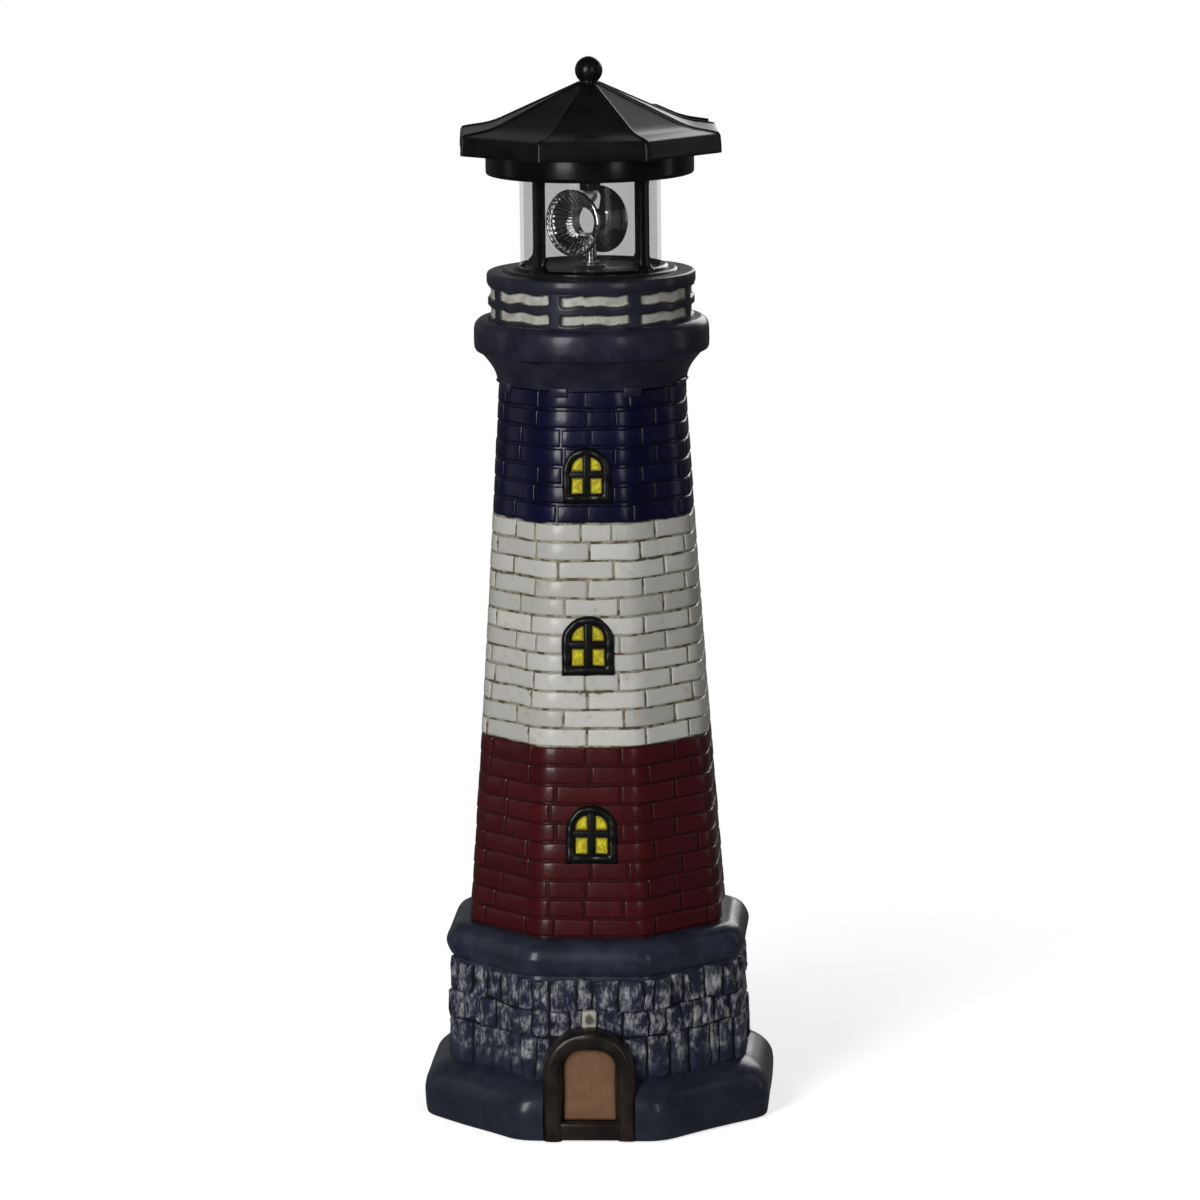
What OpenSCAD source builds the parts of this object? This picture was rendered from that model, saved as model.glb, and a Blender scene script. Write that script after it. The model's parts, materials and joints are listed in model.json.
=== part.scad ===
// Garden lighthouse ornament: a hollow painted tower with a solar lantern head
// that lifts out of the gallery. Sizes in millimetres, +Z up, door towards -Y.
// Heights are stacked from the pads under the plinth.

/* [Overall] */
// which piece to draw

/* [Base casting] */
// how far the rubber pads stand below the plinth
pad_stand = 0.4; // [0.4:0.1:1.5]
// plinth width across its flats at the widest place
plinth_w = 118; // [112:0.5:124]
// plinth height up to the foot of the stone wall
plinth_h = 18.8; // [16:0.2:22]
// how much the plinth draws in at its foot, each side
plinth_draft = 0.6; // [0.2:0.1:2]
// radius of the plinth's eight upright corners
plinth_corner = 9; // [4:0.5:14]
// stone wall width across its flats
wall_w = 101.6; // [98:0.2:104]
// stone wall height from plinth to ledge
wall_h = 35; // [30:0.5:40]
// how far the stone wall leans in at its top, each side
wall_lean = 1.2; // [0:0.1:2.5]
// radius of the stone wall's upright corners
wall_corner = 10; // [5:0.5:14]
// ledge width across its flats
ledge_w = 102; // [99:0.2:106]
// ledge height
ledge_h = 12.8; // [10:0.2:16]
// depth of the grooves between stone courses
stone_groove = 0.9; // [0.3:0.1:1.2]
// height of the upper course of stones
upper_course_h = 10.8; // [8:0.2:13]
// height of the middle course of stones
middle_course_h = 9; // [7:0.2:11]
// width of the lip round the cover under the base
cover_lip = 4.5; // [3.5:0.5:7]
// thickness of the cover under the base
cover_t = 2.4; // [1.6:0.2:3]
// space between the cover and the door surround
cover_gap = 1; // [0.5:0.1:2.5]
// how deep the cover lies inside the plinth
cover_sink = 1; // [0.5:0.1:2]
// radius of each rubber pad
pad_r = 3.6; // [2.5:0.1:4]
// thickness of each rubber pad
pad_t = 1.6; // [1.6:0.1:2.4]
// distance of each pad's middle from the outside of the plinth
pad_inset = 7; // [6.4:0.1:7.3]

/* [Shaft casting] */
// shaft width across its flats at the ledge
shaft_w_low = 86.2; // [84:0.1:90]
// shaft width across its flats under the gallery
shaft_w_high = 62.6; // [61:0.1:66]
// how far each side bows inwards half way up
shaft_bow = 0.4; // [0:0.1:1.5]
// radius of the shaft's rounded corners at the ledge
shaft_corner_low = 9; // [5:0.5:16]
// radius of the shaft's rounded corners under the gallery
shaft_corner_high = 20; // [14:0.5:26]
// height of the red band
red_h = 64.4; // [58:0.2:70]
// courses of brick in the red band
red_courses = 10; // [8:1:12]
// height of the white band
white_h = 75; // [68:0.2:82]
// courses of brick in the white band
white_courses = 12; // [9:1:14]
// height of the blue band
blue_h = 44.4; // [40:0.2:50]
// courses of brick in the blue band
blue_courses = 7; // [5:1:9]
// depth of the joints between courses
joint_depth = 0.45; // [0.2:0.05:0.8]
// half the width of the joints between courses
joint_half = 0.4; // [0.2:0.05:0.6]
// radius of the shaft's hollow at the ledge
shaft_hollow_low = 34.5; // [31:0.5:35.5]
// radius of the shaft's hollow under the gallery
shaft_hollow_high = 23.6; // [21:0.2:24.6]
// radius of the spigot that enters the base
low_spigot_r = 37.6; // [36.8:0.2:38.2]
// length of the spigot that enters the base
low_spigot_h = 8; // [5:0.5:11]
// radius of the spigot that enters the gallery
high_spigot_r = 26.4; // [25.6:0.2:26.8]
// length of the spigot that enters the gallery
high_spigot_h = 5; // [3:0.5:5.5]

/* [Gallery casting] */
// turn of the gallery against the door
gallery_turn = 6; // [0:0.5:22.5]
// height of the flared cone under the collar
cone_h = 10; // [8:0.2:12]
// radius of the round collar
collar_r = 39.8; // [38.8:0.1:41]
// height of the round collar
collar_h = 11.2; // [9:0.2:13]
// wall between the lantern's seat and the panels
panel_wall = 4.1; // [3.6:0.1:4.4]
// height of the band holding the panels
panel_band_h = 11.5; // [11:0.1:14]
// how far the rails and uprights stand out of the panels
rail_out = 1.1; // [0.8:0.1:1.4]
// height of the middle rail
rail_h = 2.5; // [1.6:0.1:3.4]
// height of the bottom rail
bottom_rail_h = 0.8; // [0.6:0.1:2.2]
// how far the top rim stands out of the panels
rim_out = 1.5; // [1.4:0.1:3]
// height of the top rim
rim_h = 4.2; // [3.8:0.1:5.5]
// width of each upright between panels
stile_w = 4.2; // [3:0.1:6]
// width of the corbel tabs under the cone
tab_w = 7; // [5:0.2:9]
// how far the corbel tabs hang below the cone
tab_drop = 2.6; // [1.5:0.1:4]
// how far the corbel tabs stand out of the shaft
tab_out = 0.8; // [0.6:0.1:2]
// width of the seat that carries the lantern floor
seat_w = 2.4; // [2.3:0.1:2.8]
// depth of the seat for the lantern floor
seat_depth = 2.6; // [2:0.1:3.2]
// thickness of the paint left in the seat
paint_t = 0.04; // [0.02:0.01:0.1]

/* [Windows and door] */
// width of each window frame
window_w = 17; // [15:0.2:19]
// height of each window frame
window_h = 19.4; // [18:0.2:23]
// width of the frame's border
window_border = 3.3; // [2.4:0.1:3.6]
// width of the glazing bars
window_bar = 2.4; // [1.4:0.1:3]
// how far a window frame stands out of the wall
window_out = 1.5; // [1:0.1:2.2]
// how deep a window frame is let into the wall
window_in = 1.2; // [1:0.1:1.6]
// thickness of the glazing bars
window_bar_t = 0.9; // [0.6:0.1:1.2]
// height of the lowest window's sill above the ledge
window_low = 25.2; // [20:0.2:32]
// height of the middle window's sill above the ledge
window_mid = 88.4; // [82:0.2:94]
// height of the highest window's sill above the ledge
window_high = 146.4; // [140:0.2:152]
// width of the door surround
door_w = 31.4; // [28:0.2:34]
// height of the door surround
door_h = 35.8; // [34:0.2:40]
// width of the surround's border beside the leaf
door_border = 6.6; // [5:0.1:7.5]
// width of the surround's border over the leaf
door_head = 4.9; // [4:0.1:7]
// radius of the rounded front edges of the surround
door_round = 1.6; // [0.8:0.1:2]
// how far the surround reaches back from the plinth's front
door_depth = 12; // [10:0.5:13]
// height of the sill under the door leaf
door_sill_h = 6.2; // [4:0.2:8]
// how far the sill lies behind the front of the surround
sill_back = 0.8; // [0.4:0.1:2]
// how far the door leaf lies behind the front of the surround
leaf_back = 4.6; // [3:0.2:6]
// radius of the door leaf's upper corners
leaf_round = 6.2; // [3:0.2:8]

/* [Lantern head] */
// turn of the lantern head against the door
head_turn = 5.5; // [-22.5:0.5:22.5]
// clearance between glued or seated pieces
seat_gap = 0.1; // [0.05:0.01:0.2]
// clearance round the lantern floor in its seat
floor_gap = 0.4; // [0.3:0.1:1]
// thickness of the lantern floor
floor_t = 3.4; // [3:0.1:4.4]
// radius of the clear tube
tube_r = 23.75; // [23:0.05:24.2]
// wall of the clear tube
tube_t = 1.3; // [1:0.1:1.8]
// height between lantern floor and drum
lantern_h = 31.8; // [29:0.2:36]
// how deep the clear tube stands in the floor and in the drum floor
tube_sink = 1; // [0.6:0.1:1.2]
// thickness of the lantern posts
post_t = 1.6; // [1.5:0.1:2]
// width of the lantern posts
post_w = 4.3; // [3.4:0.1:5.4]
// height of the ring at the posts' feet
foot_ring_h = 1.2; // [0.8:0.1:2]
// width of the ring at the posts' feet
foot_ring_t = 2.4; // [1.9:0.1:3]
// radius of the drum
drum_r = 35.1; // [33:0.1:37]
// visible height of the drum below the eave
drum_h = 7.9; // [7:0.1:9.5]
// wall of the drum
drum_wall = 1.8; // [1.4:0.1:2.4]
// thickness of the drum floor
drum_floor_t = 2; // [1.8:0.1:2.4]
// width of the roof across its flats at the eave
roof_w = 87; // [84:0.2:90]
// height of the upright fascia
fascia_h = 6.4; // [5:0.1:7.4]
// rise of the flat outer part of the roof
skirt_rise = 2; // [1.6:0.1:3.4]
// half width where the steep part of the roof begins
steep_r = 32.5; // [29:0.5:36]
// rise of the steep part of the roof
steep_rise = 14; // [12:0.2:16]
// half width of the roof's flat crown
crown_r = 3.4; // [3.2:0.1:5.5]
// lean of the fascia, each side
fascia_lean = 0.6; // [0.2:0.1:1.2]
// how widely the roof's two slopes run into each other
roof_bend = 3.5; // [2:0.5:8]
// thickness of the roof shell
roof_t = 2; // [1.6:0.1:2.4]
// how far the soffit lies above the fascia's lower edge
soffit_sink = 0.8; // [0.4:0.1:1.5]
// thickness of the soffit round the drum
soffit_t = 1.6; // [1.2:0.1:2]
// width of the raised ribs along the hips
rib_w = 1.5; // [1:0.1:2.2]
// height of the raised ribs
rib_out = 0.5; // [0.3:0.05:0.8]
// radius of the finial ball
ball_r = 4.65; // [4:0.05:5.5]
// radius of the finial neck
neck_r = 3.2; // [2.6:0.1:3.6]
// height of the neck below the ball
neck_h = 0.9; // [0.8:0.1:2.5]
// half width at which the solar panel frame begins
panel_start = 24; // [20:0.5:26]
// half width at which the solar panel frame ends
panel_end = 41.8; // [40:0.2:42.4]
// height of the solar panel frame over the roof
panel_raise = 1.5; // [1.3:0.1:1.8]
// border of the solar panel frame
panel_border = 1.8; // [1.4:0.1:3]
// thickness of the solar cell
cell_t = 0.5; // [0.4:0.1:0.6]
// height of the flat cell's face over the roof at its two ends
cell_lift = 0.8; // [0.7:0.1:1]

/* [Beacon and drive] */
// beacon direction at rest, against the door
beacon_turn = -34; // [-180:1:180]
// radius of the reflector cups at their rims
cup_r = 11.1; // [9:0.1:12]
// length of the reflector from rim to rim
cup_len = 16.6; // [14:0.2:17.6]
// how far the reflector is shifted along its own axis
cup_shift = 2; // [0:0.1:2.4]
// radius of the reflector's waist
waist_r = 5.4; // [4.8:0.1:6]
// wall of the reflector
cup_wall = 0.7; // [0.6:0.05:1]
// radius of the rolled bead on each rim
bead_r = 0.6; // [0.5:0.05:0.9]
// height of the reflector's axis above the lantern floor
cup_axis_h = 15.8; // [15:0.1:17]
// radius of the spindle above the floor
spindle_r = 2; // [1.8:0.05:2.2]
// wall of the bush round the spindle
bush_t = 1.2; // [1:0.1:1.6]
// radius of the bearing boss on the floor
boss_r = 5.2; // [4.6:0.1:6]
// height of the bearing boss on the floor
boss_h = 1; // [0.6:0.1:1.6]
// running clearance round the spindle and pins
run_gap = 0.05; // [0.02:0.01:0.08]
// size of the gear teeth: pitch diameter over tooth count
tooth_module = 0.5; // [0.48:0.01:0.51]
// teeth on the output gear
output_teeth = 40; // [38:1:40]
// teeth on the idler wheel
idler_teeth = 36; // [34:1:36]
// teeth on the idler pinion and on the motor pinion
pinion_teeth = 10; // [10:1:11]
// face width of each gear
gear_h = 2.2; // [1.6:0.1:2.4]
// space between the lantern floor and the output gear
gear_space = 1; // [0.8:0.1:1.2]
// space between the two layers of gears
layer_gap = 0.4; // [0.3:0.1:0.6]
// thickness of the gear plate
plate_t = 1.8; // [1.4:0.1:2]
// play between meshing teeth
tooth_play = 0.16; // [0.1:0.02:0.24]
// radius of the motor
motor_r = 5.8; // [5:0.1:6]
// length of the motor
motor_h = 11; // [9:0.2:11.4]
// radius of the rechargeable cell
battery_r = 5.2; // [4.8:0.1:5.25]
// length of the rechargeable cell
battery_len = 44; // [40:0.5:44.5]
// how much wider the plug is than the clear tube, each side
plug_over = 3.15; // [2.85:0.05:3.25]
// clearance between the plug and its socket
plug_gap = 0.5; // [0.4:0.1:0.7]
// least space between the cell's tray and the plug
tray_gap = 0.7; // [0.4:0.1:0.7]
// length of the plug under the lantern floor
plug_h = 24.6; // [24.4:0.1:26]
// wall of the plug
plug_wall = 1.6; // [1.4:0.1:1.8]
// thickness of the plug cover
plug_cover_t = 1.8; // [1.6:0.1:2]
// travel of the slide switch
switch_travel = 3; // [2:0.5:3.5]
// thickness of the tray under the rechargeable cell
cradle_t = 0.8; // [0.6:0.1:1]
// radius of the light-emitting diode
led_r = 2.5; // [1.5:0.1:2.6]
// height of the diode's tip above the reflector's waist
led_gap = 0.5; // [0.3:0.1:1]
// wall of the diode holder
holder_t = 1; // [0.8:0.1:1.3]
// length of the diode holder below the drum
holder_drop = 5.7; // [4:0.1:6.5]
// space between the drum floor and the circuit board
board_gap = 2; // [1.6:0.1:2.4]
// radius of the circuit board
board_r = 24; // [20:0.5:26]
// thickness of the circuit board
board_t = 1.4; // [1:0.1:1.6]
// radius of each wire between drum and plug
wire_r = 0.45; // [0.3:0.05:0.5]
// shank radius of the screws
screw_r = 1; // [0.8:0.1:1.1]
// length of the screws' shanks
screw_len = 4; // [3:0.5:4.5]

/* [Hidden] */
$fn = 64;

// step between the base's hollow and the bore for the shaft
base_step = 4;
// thickness of the contact springs at the ends of the cell
contact_t = 0.4;
// place of the cell and of the switch, behind or in front of the middle
battery_y = -2;
switch_y = -14.5;
// sizes of the switch knob
knob_w = 3;
knob_d = 2.4;
// radius of each thin pin and shaft
pin_r = 0.8;
tip_r = 1.2;
motor_shaft_r = 0.5;
finial_pin_r = 1.6;
// screw heads, the clearance round them and the pillars they enter
head_r = screw_r * 1.8;
head_h = screw_r * 0.8;
head_gap = 0.15;
pillar_r = screw_r * 2.2;
// brim of the light-emitting diode, and the clearance of the hole it stands over
led_flange_h = 1;
led_flange_r = led_r + 0.4;
led_clear = 0.5;

// ---- positions worked out from the sizes above ----

// radii under the plinth
cover_r = plinth_w / 2 - door_depth - cover_gap;
base_hollow_r = cover_r - cover_lip;
pad_circle_r = plinth_w / 2 - pad_inset;

// radii of the plug, sized by the tube above it or by the cell inside it
tray_half = battery_len / 2 + contact_t + 0.1;
tray_reach = norm([tray_half + 1, abs(battery_y) + battery_r]);
plug_r = max(tube_r + plug_over, tray_reach + tray_gap + plug_wall);
socket_r = plug_r + plug_gap;
seat_r = socket_r + seat_w;
floor_r = seat_r - floor_gap;
panel_r = seat_r + panel_wall;
rail_r = panel_r + rail_out;
rim_r = panel_r + rim_out;

// heights of the tower
z_plinth = pad_stand;
z_wall = z_plinth + plinth_h;
z_ledge = z_wall + wall_h;
z_shaft = z_ledge + ledge_h;
z_white = z_shaft + red_h;
z_blue = z_white + white_h;
z_cone = z_blue + blue_h;
z_collar = z_cone + cone_h;
z_panels = z_collar + collar_h;
z_rim = z_panels + panel_band_h;
z_top = z_rim + rim_h;
rail_mid = z_panels + bottom_rail_h + (panel_band_h - bottom_rail_h) / 2;
socket_low = z_cone + high_spigot_h;
hollow_top = z_shaft - low_spigot_h - base_step;

// heights of the lantern head
z_floor = z_top - seat_depth + paint_t;
z_deck = z_floor + floor_t;
z_drum = z_deck + lantern_h;
z_eave = z_drum + drum_h;
z_fascia = z_eave + fascia_h;
z_steep = z_fascia + skirt_rise;
z_crown = z_steep + steep_rise;
z_ball = z_crown + neck_h + ball_r * 0.72;
z_axis = z_deck + cup_axis_h;
z_plug = z_floor - plug_h;
cover_top = z_plug + plug_cover_t;
z_gear = z_floor - gear_space - gear_h;
z_wheel = z_gear - layer_gap - gear_h;
plate_top = z_wheel - layer_gap;
plate_low = plate_top - plate_t;
z_motor = plate_low - motor_h;
z_battery = cover_top + cradle_t + battery_r;
soffit_low = z_eave + soffit_sink;
soffit_top = soffit_low + soffit_t;
board_low = z_drum + drum_floor_t + board_gap;
post_r = tube_r + seat_gap;

// gear train: the idler stands behind the spindle and the motor beside the idler
idler_y = tooth_module * (output_teeth + pinion_teeth) / 2;
motor_x = tooth_module * (idler_teeth + pinion_teeth) / 2;

// roof outline from crown to eave as [half width, height]
eave_half = roof_w / 2 - fascia_lean;
steep_slope = steep_rise / (steep_r - crown_r);
bend_in = [steep_r - roof_bend, z_steep + steep_slope * roof_bend];
bend_out = [steep_r + roof_bend, z_steep - skirt_rise * roof_bend / (eave_half - steep_r)];
function bend(t) = bend_in * (1 - t) * (1 - t) + [steep_r, z_steep] * 2 * t * (1 - t)
    + bend_out * t * t;
roof_line = concat([[crown_r, z_crown]], [for (i = [0:5]) bend(i / 5)], [[eave_half, z_fascia]]);
function line_z(a, b, r) = a[1] + (b[1] - a[1]) * (r - a[0]) / (b[0] - a[0]);
function roof_z(r, i = 0) = r <= roof_line[i + 1][0] ? line_z(roof_line[i], roof_line[i + 1], r)
    : roof_z(r, i + 1);

// half width of the shaft at a height
function shaft_part(z) = (z - z_shaft) / (z_cone - z_shaft);
function shaft_side(t) = shaft_w_low / 2 + (shaft_w_high - shaft_w_low)
    / 2 * t - shaft_bow * sin(180 * t);
function shaft_half(z) = shaft_side(shaft_part(z));
function shaft_round(z) = shaft_corner_low + (shaft_corner_high - shaft_corner_low) * shaft_part(z);
shaft_lean = atan((shaft_w_low - shaft_w_high) / 2 / (z_cone - z_shaft));

// ---- shapes used by several pieces ----

// corner points of an octagon with rounded corners, flats facing the axes
function corner(k, i, n, half, round) = let(a = 45 * k + 22.5, b = n == 0 ? a : a - 22.5 + 45 * i / n,
    c = (half - round) / cos(22.5))
    [c * cos(a) + round * cos(b), c * sin(a) + round * sin(b)];
function ring(half, round, n) = [for (k = [0:7]) for (i = [0:n]) corner(k, i, n, half, round)];

// solid through a stack of rounded octagons, rows as [height, half width, corner radius]
module stack(rows, n = 3) {
    count = 8 * (n + 1);
    last = len(rows) - 1;
    points = [for (row = rows) for (p = ring(row[1], row[2], n)) [p[0], p[1], row[0]]];
    low = [for (i = [0:count - 1]) i];
    high = [for (i = [count - 1:-1:0]) last * count + i];
    left = [for (j = [0:last - 1]) for (i = [0:count - 1])
        [j * count + i, (j + 1) * count + i, (j + 1) * count + (i + 1) % count]];
    right = [for (j = [0:last - 1]) for (i = [0:count - 1])
        [j * count + i, (j + 1) * count + (i + 1) % count, j * count + (i + 1) % count]];
    polyhedron(points = points, faces = concat([low], [high], left, right));
}

// ---- tower ----

// outer form of plinth, stone wall and ledge
plinth_half = plinth_w / 2;
wall_half = wall_w / 2;
ledge_half = ledge_w / 2;
function plinth_row(t, out) = [z_plinth + plinth_h * t, plinth_half - out, plinth_corner];
function wall_row(z, sink) = [z, wall_half - wall_lean * (z - z_wall) / wall_h - sink, wall_corner];
function ledge_row(t, out) = [z_ledge + ledge_h * t, ledge_half - out, wall_corner];
function groove_rows(z) = [wall_row(z - 0.6, 0), wall_row(z, stone_groove), wall_row(z + 0.6, 0)];
z_upper_course = z_ledge - upper_course_h;
z_middle_course = z_upper_course - middle_course_h;
base_rows = concat(
    [plinth_row(0, plinth_draft + 0.6), plinth_row(0.03, plinth_draft), plinth_row(0.22, 0.3)],
    [plinth_row(0.45, 0), plinth_row(0.65, 0.6), plinth_row(0.8, 2.1), plinth_row(0.91, 4.2),
        plinth_row(0.97, 6)],
    [wall_row(z_wall, -0.8), wall_row(z_wall + 1, 0)],
    groove_rows(z_middle_course),
    groove_rows(z_upper_course),
    [wall_row(z_ledge - 0.8, 0), wall_row(z_ledge - 0.1, 0.3)],
    [ledge_row(0, 2.2), ledge_row(0.05, 1.4), ledge_row(0.2, 0.6), ledge_row(0.4, 0),
        ledge_row(0.55, 0.1)],
    [ledge_row(0.7, 0.9), ledge_row(0.85, 2.1), ledge_row(0.95, 3.5), ledge_row(1, 5.4)]
);

// arch standing in the x-z plane, foot at the origin, drawn flat
module arch(w, h) {
    translate([-w / 2, 0]) square([w, h - w / 2]);
    translate([0, h - w / 2]) circle(r = w / 2);
}

// plate with rounded upper corners, drawn flat
module leaf_shape(w, h, r) {
    translate([-w / 2, 0]) square([w, h - r]);
    translate([-w / 2 + r, h - 2 * r]) square([w - 2 * r, 2 * r]);
    translate([-w / 2 + r, h - r]) circle(r = r);
    translate([w / 2 - r, h - r]) circle(r = r);
}

// stands a flat shape up against the front, its face at depth y
module front(y, t) {
    translate([0, y + t, pad_stand]) rotate([90, 0, 0]) linear_extrude(height = t) children();
}

// ring of pads or pockets between the plinth's flats
module pads(r, z, h) {
    for (a = [45:90:315]) rotate([0, 0, a]) translate([pad_circle_r, 0, z]) cylinder(h = h, r = r);
}

module base_casting() {
    color("slategray") difference() {
        stack(base_rows);
        translate([0, 0, z_plinth + cover_sink]) cylinder(h = cover_t, r = cover_r + seat_gap);
        translate([0, 0, z_plinth - 1]) cylinder(h = cover_sink + 1.01, r = cover_r + seat_gap);
        translate([0, 0, z_plinth + cover_sink + cover_t - 0.01])
            cylinder(h = hollow_top - z_plinth - cover_sink - cover_t, r = base_hollow_r);
        translate([0, 0, hollow_top - 0.02]) cylinder(h = z_shaft, r = low_spigot_r + seat_gap);
        pads(pad_r + seat_gap, z_plinth - 1, 1 + pad_t - pad_stand);
        front(-plinth_half - 1, door_depth + 1) arch(door_w + 2 * seat_gap, door_h + seat_gap);
        front(-plinth_half - 1, door_depth + 1) translate([-door_w / 2 - seat_gap, -1])
            square([door_w + 2 * seat_gap, 2]);
    }
}

// courses of one band, rows of [height, half width, corner radius]
function course(z, sink) = [z, shaft_half(z) - sink, shaft_round(z)];
function band_rows(z, h, n) = [for (i = [0:n - 1]) for (j = [0:2]) let(step = h / n)
    j == 0 ? course(z + i * step, joint_depth) : j == 1 ? course(z + i * step + joint_half, 0)
        : course(z + (i + 1) * step - joint_half, 0)];

// plain outer form of the shaft, used to fit other pieces round it
module shaft_form(gap, low, high) {
    stack([for (i = [0:6]) let(z = low + (high - low) * i / 6)
        [z, shaft_half(z) + gap, shaft_round(z)]], 2);
}

module shaft_casting() {
    color("ivory") difference() {
        union() {
            stack(concat(
                band_rows(z_shaft, red_h, red_courses),
                band_rows(z_white, white_h, white_courses),
                band_rows(z_blue, blue_h, blue_courses),
                [course(z_cone, joint_depth)]
            ), 2);
            translate([0, 0, z_shaft - low_spigot_h]) cylinder(h = low_spigot_h + 1, r = low_spigot_r);
            translate([0, 0, z_cone - 1]) cylinder(h = high_spigot_h + 1, r = high_spigot_r);
        }
        translate([0, 0, z_shaft - low_spigot_h - 0.1])
            cylinder(h = z_cone - z_shaft + low_spigot_h + 0.2, r1 = shaft_hollow_low,
            r2 = shaft_hollow_high);
        translate([0, 0, z_cone]) cylinder(h = high_spigot_h + 1, r = shaft_hollow_high);
        for (z = [window_low, window_mid, window_high]) window_place(z) translate([0, 0, -window_in])
            linear_extrude(height = 9) arch(window_w + 2 * seat_gap, window_h + seat_gap);
    }
}

// outline of the gallery: cone, collar, panel band and rim
cone_top_r = collar_r - 0.8;
cone_low_r = collar_r - 7.6;
collar_edge = 3.2;
collar_soft = 3.6;
cone_line = [for (i = [0:8]) [cone_low_r + (cone_top_r - cone_low_r) * (1 - cos(90 * i / 8)),
    z_cone + cone_h * i / 8]];
collar_line = [for (i = [0:8]) [collar_r - collar_edge + collar_edge * cos(90 * i / 8),
    z_panels - collar_soft + collar_soft * sin(90 * i / 8)]];

module gallery_ring(r, z, h, edge) {
    translate([0, 0, z]) rotate_extrude() polygon([[panel_r - 1, 0], [r - edge, 0], [r, edge],
        [r, h - edge], [r - edge, h], [panel_r - 1, h]]);
}

module gallery_casting() {
    color("midnightblue") difference() {
        union() {
            rotate_extrude() polygon(concat([[socket_r - 4, z_cone]], cone_line,
                [[collar_r, z_collar + 0.8]], collar_line,
                [[panel_r, z_panels], [panel_r, z_rim + 1], [socket_r - 4, z_rim + 1]]));
            gallery_ring(rail_r + 0.2, z_panels - 0.5, bottom_rail_h + 0.5, 0.3);
            gallery_ring(rail_r, rail_mid - rail_h / 2, rail_h, 0.5);
            gallery_ring(rim_r, z_rim, rim_h, 0.7);
            translate([0, 0, z_rim]) cylinder(h = rim_h, r = panel_r);
            for (k = [0:7]) rotate([0, 0, gallery_turn + 22.5 + 45 * k])
                translate([panel_r - 2, -stile_w / 2, z_panels - 0.5])
                cube([rail_r - panel_r + 2, stile_w, panel_band_h + 1]);
            for (k = [0:7]) rotate([0, 0, gallery_turn + 22.5 + 45 * k])
                translate([cone_low_r - 4, -tab_w / 2, z_cone - tab_drop])
                cube([3.8 + tab_out, tab_w, tab_drop + 2]);
        }
        shaft_form(seat_gap, z_cone - tab_drop - 1, z_cone);
        translate([0, 0, z_cone - 1]) cylinder(h = high_spigot_h + 1.02, r = high_spigot_r + seat_gap);
        translate([0, 0, socket_low]) cylinder(h = z_top, r = socket_r);
        translate([0, 0, z_top - seat_depth]) cylinder(h = z_top, r = seat_r);
    }
}

module base_cover() {
    color("dimgray") difference() {
        translate([0, 0, z_plinth + cover_sink]) cylinder(h = cover_t, r = cover_r);
        translate([0, 0, z_plinth]) cylinder(h = cover_t + 4, r = 4);
    }
}

module rubber_pads() {
    color("black") pads(pad_r, 0, pad_t);
}

// ---- windows and door ----

// carries a flat drawing to the leaning front of the shaft at a sill height
module window_place(z) {
    middle = z_shaft + z + window_h / 2;
    translate([0, -shaft_half(middle), middle]) rotate([90 - shaft_lean, 0, 0])
        translate([0, -window_h / 2, 0]) children();
}

pane_t = window_in + window_out - window_bar_t - seat_gap;
module window_frame() {
    inner_w = window_w - 2 * window_border;
    inner_h = window_h - 2 * window_border;
    difference() {
        translate([0, 0, -window_in]) linear_extrude(height = window_in + window_out)
            arch(window_w, window_h);
        translate([0, window_border, -window_in - 1])
            linear_extrude(height = window_in + window_out + 2) arch(inner_w, inner_h);
    }
    translate([-window_bar / 2, window_border - 1, window_out - window_bar_t])
        cube([window_bar, inner_h + 2, window_bar_t]);
    translate([-inner_w / 2 - 1, window_border + inner_h * 0.46 - window_bar / 2,
        window_out - window_bar_t]) cube([inner_w + 2, window_bar, window_bar_t]);
}

module window_frames() {
    color("black") for (z = [window_low, window_mid, window_high]) window_place(z) window_frame();
}

module window_panes() {
    inner_w = window_w - 2 * window_border;
    inner_h = window_h - 2 * window_border;
    color("gold") for (z = [window_low, window_mid, window_high]) window_place(z)
        translate([0, window_border + seat_gap / 2, -window_in]) linear_extrude(height = pane_t)
        arch(inner_w - seat_gap, inner_h - seat_gap);
}

door_front = -plinth_half;
door_inner_w = door_w - 2 * door_border;
door_inner_h = door_h - door_head - door_sill_h;
module door_surround() {
    color("darkslategray") difference() {
        union() {
            front(door_front + door_round, door_depth - door_round) arch(door_w, door_h);
            front(door_front + door_round * 0.4, door_depth - door_round)
                arch(door_w - door_round * 0.8, door_h - door_round * 0.4);
            front(door_front, door_depth - door_round) arch(door_w - door_round * 2.4,
                door_h - door_round * 1.2);
        }
        front(door_front - 1, door_depth + 2) translate([0, door_sill_h])
            leaf_shape(door_inner_w, door_inner_h, leaf_round);
        front(door_front - 1, door_round + 1) translate([0, door_sill_h - 0.6])
            leaf_shape(door_inner_w + door_round * 1.2, door_inner_h + 1.2, leaf_round + 0.6);
        front(door_front - 1, 1 + sill_back) translate([-door_inner_w / 2, -1])
            square([door_inner_w, door_sill_h + 1]);
        front(door_front - 2, 4) translate([-door_w, -2]) square([2 * door_w, 2]);
    }
}

module door_leaf() {
    color("tan") front(door_front + leaf_back, door_depth - leaf_back) translate([0, door_sill_h])
        leaf_shape(door_inner_w - 2 * seat_gap, door_inner_h - seat_gap, leaf_round);
}

// ---- lantern head, drawn in its own turn ----

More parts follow.
